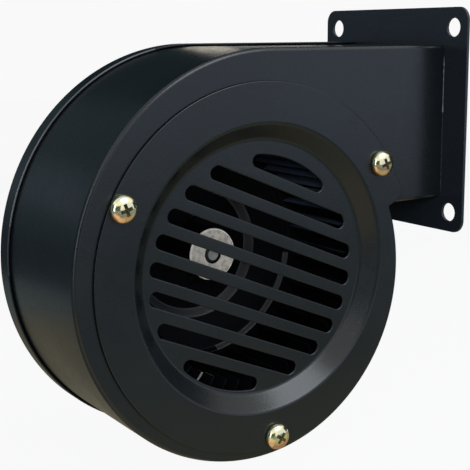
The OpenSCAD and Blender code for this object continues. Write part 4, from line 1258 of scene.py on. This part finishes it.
def straight_or_mirrored(tree):
    """1 for what the camera sees straight, in a reflection or through glass."""
    path = tree.nodes.new("ShaderNodeLightPath")
    total = path.outputs["Is Camera Ray"]
    for kind in ("Is Glossy Ray", "Is Transmission Ray"):
        total = sums(tree, "MAXIMUM", total, path.outputs[kind])
    return total


def make_floor():
    """A pale floor that reads white to the camera and keeps a soft shadow."""
    floor = plane_at("floor", (-0.05, 0, -0.17), UP, 6, 6)
    pale, tree = new_material("pale_floor")
    shader = tree.nodes["Principled BSDF"]
    feed(tree, shader, {"Base Color": (0.86, 0.84, 0.8), "Roughness": 0.8})
    share = sums(tree, "MULTIPLY", straight_or_mirrored(tree), 0.92)
    white = step(tree, "ShaderNodeEmission", {"Color": (0.985, 0.985, 0.985)})
    mixed = step(tree, "ShaderNodeMixShader", {0: share, 1: shader.outputs[0], 2: white})
    feed(tree, tree.nodes["Material Output"], {"Surface": mixed})
    floor.data.materials.append(pale)


def make_world():
    """White to the camera and in reflections, an even studio grey for the light it gives."""
    world = bpy.data.worlds.new("studio")
    bpy.context.scene.world = world
    world.use_nodes = True
    tree = world.node_tree
    shade = tree.nodes["Background"]
    feed(tree, shade, {"Color": (0.94, 0.97, 1), "Strength": 0.4})
    white = step(tree, "ShaderNodeBackground", {"Color": (0.947, 0.947, 0.947)})
    mixed = step(tree, "ShaderNodeMixShader", {0: straight_or_mirrored(tree), 1: shade.outputs[0], 2: white})
    feed(tree, tree.nodes["World Output"], {"Surface": mixed})


def make_card(name, centre, facing, size, colour):
    """A studio card that reflections and light see, and the camera doesn't."""
    card = plane_at(name, centre, facing, *size)
    paint, tree = new_material(name)
    glow = step(tree, "ShaderNodeEmission", {"Color": colour})
    feed(tree, tree.nodes["Material Output"], {"Surface": glow})
    card.data.materials.append(paint)
    card.visible_camera = False
    card.visible_shadow = False


def make_lamp(name, centre, size, power, colour, mirrored):
    """A soft round lamp that points at the fan; mirrored says whether reflections show it."""
    data = bpy.data.lights.new(name, "AREA")
    data.shape = "DISK"
    data.size = size
    data.energy = power
    data.color = colour
    lamp = bpy.data.objects.new(name, data)
    aim = (Vector(MIDDLE) - Vector(centre)).to_track_quat("-Z", "Y").to_matrix().to_4x4()
    lamp.matrix_world = Matrix.Translation(Vector(centre)) @ aim
    lamp.visible_glossy = mirrored
    bpy.context.scene.collection.objects.link(lamp)


def make_stage():
    make_floor()
    make_world()
    for card in CARDS:
        make_card(*card)
    make_lamp("key", (0.17, -0.74, 0.85), 0.78, 5.8, (0.9, 0.96, 1), mirrored=True)
    make_lamp("fill", (-0.75, -1.15, 0.35), 0.6, 16, (0.97, 0.98, 1), mirrored=False)


make_camera()
make_pan()
make_back_plate()
make_flange()
make_cover()
make_cover_screws()
make_back_screws()
make_wheel_ring()
make_blades()
make_wheel_back()
make_rivets()
make_hub()
make_shaft()
make_front_bell()
make_shell()
make_rear_bell()
make_box()
make_lid()
make_gland()
make_gland_cap()
dress_kept_nodes()
make_stage()

view = bpy.context.scene.view_settings
view.view_transform = "Standard"
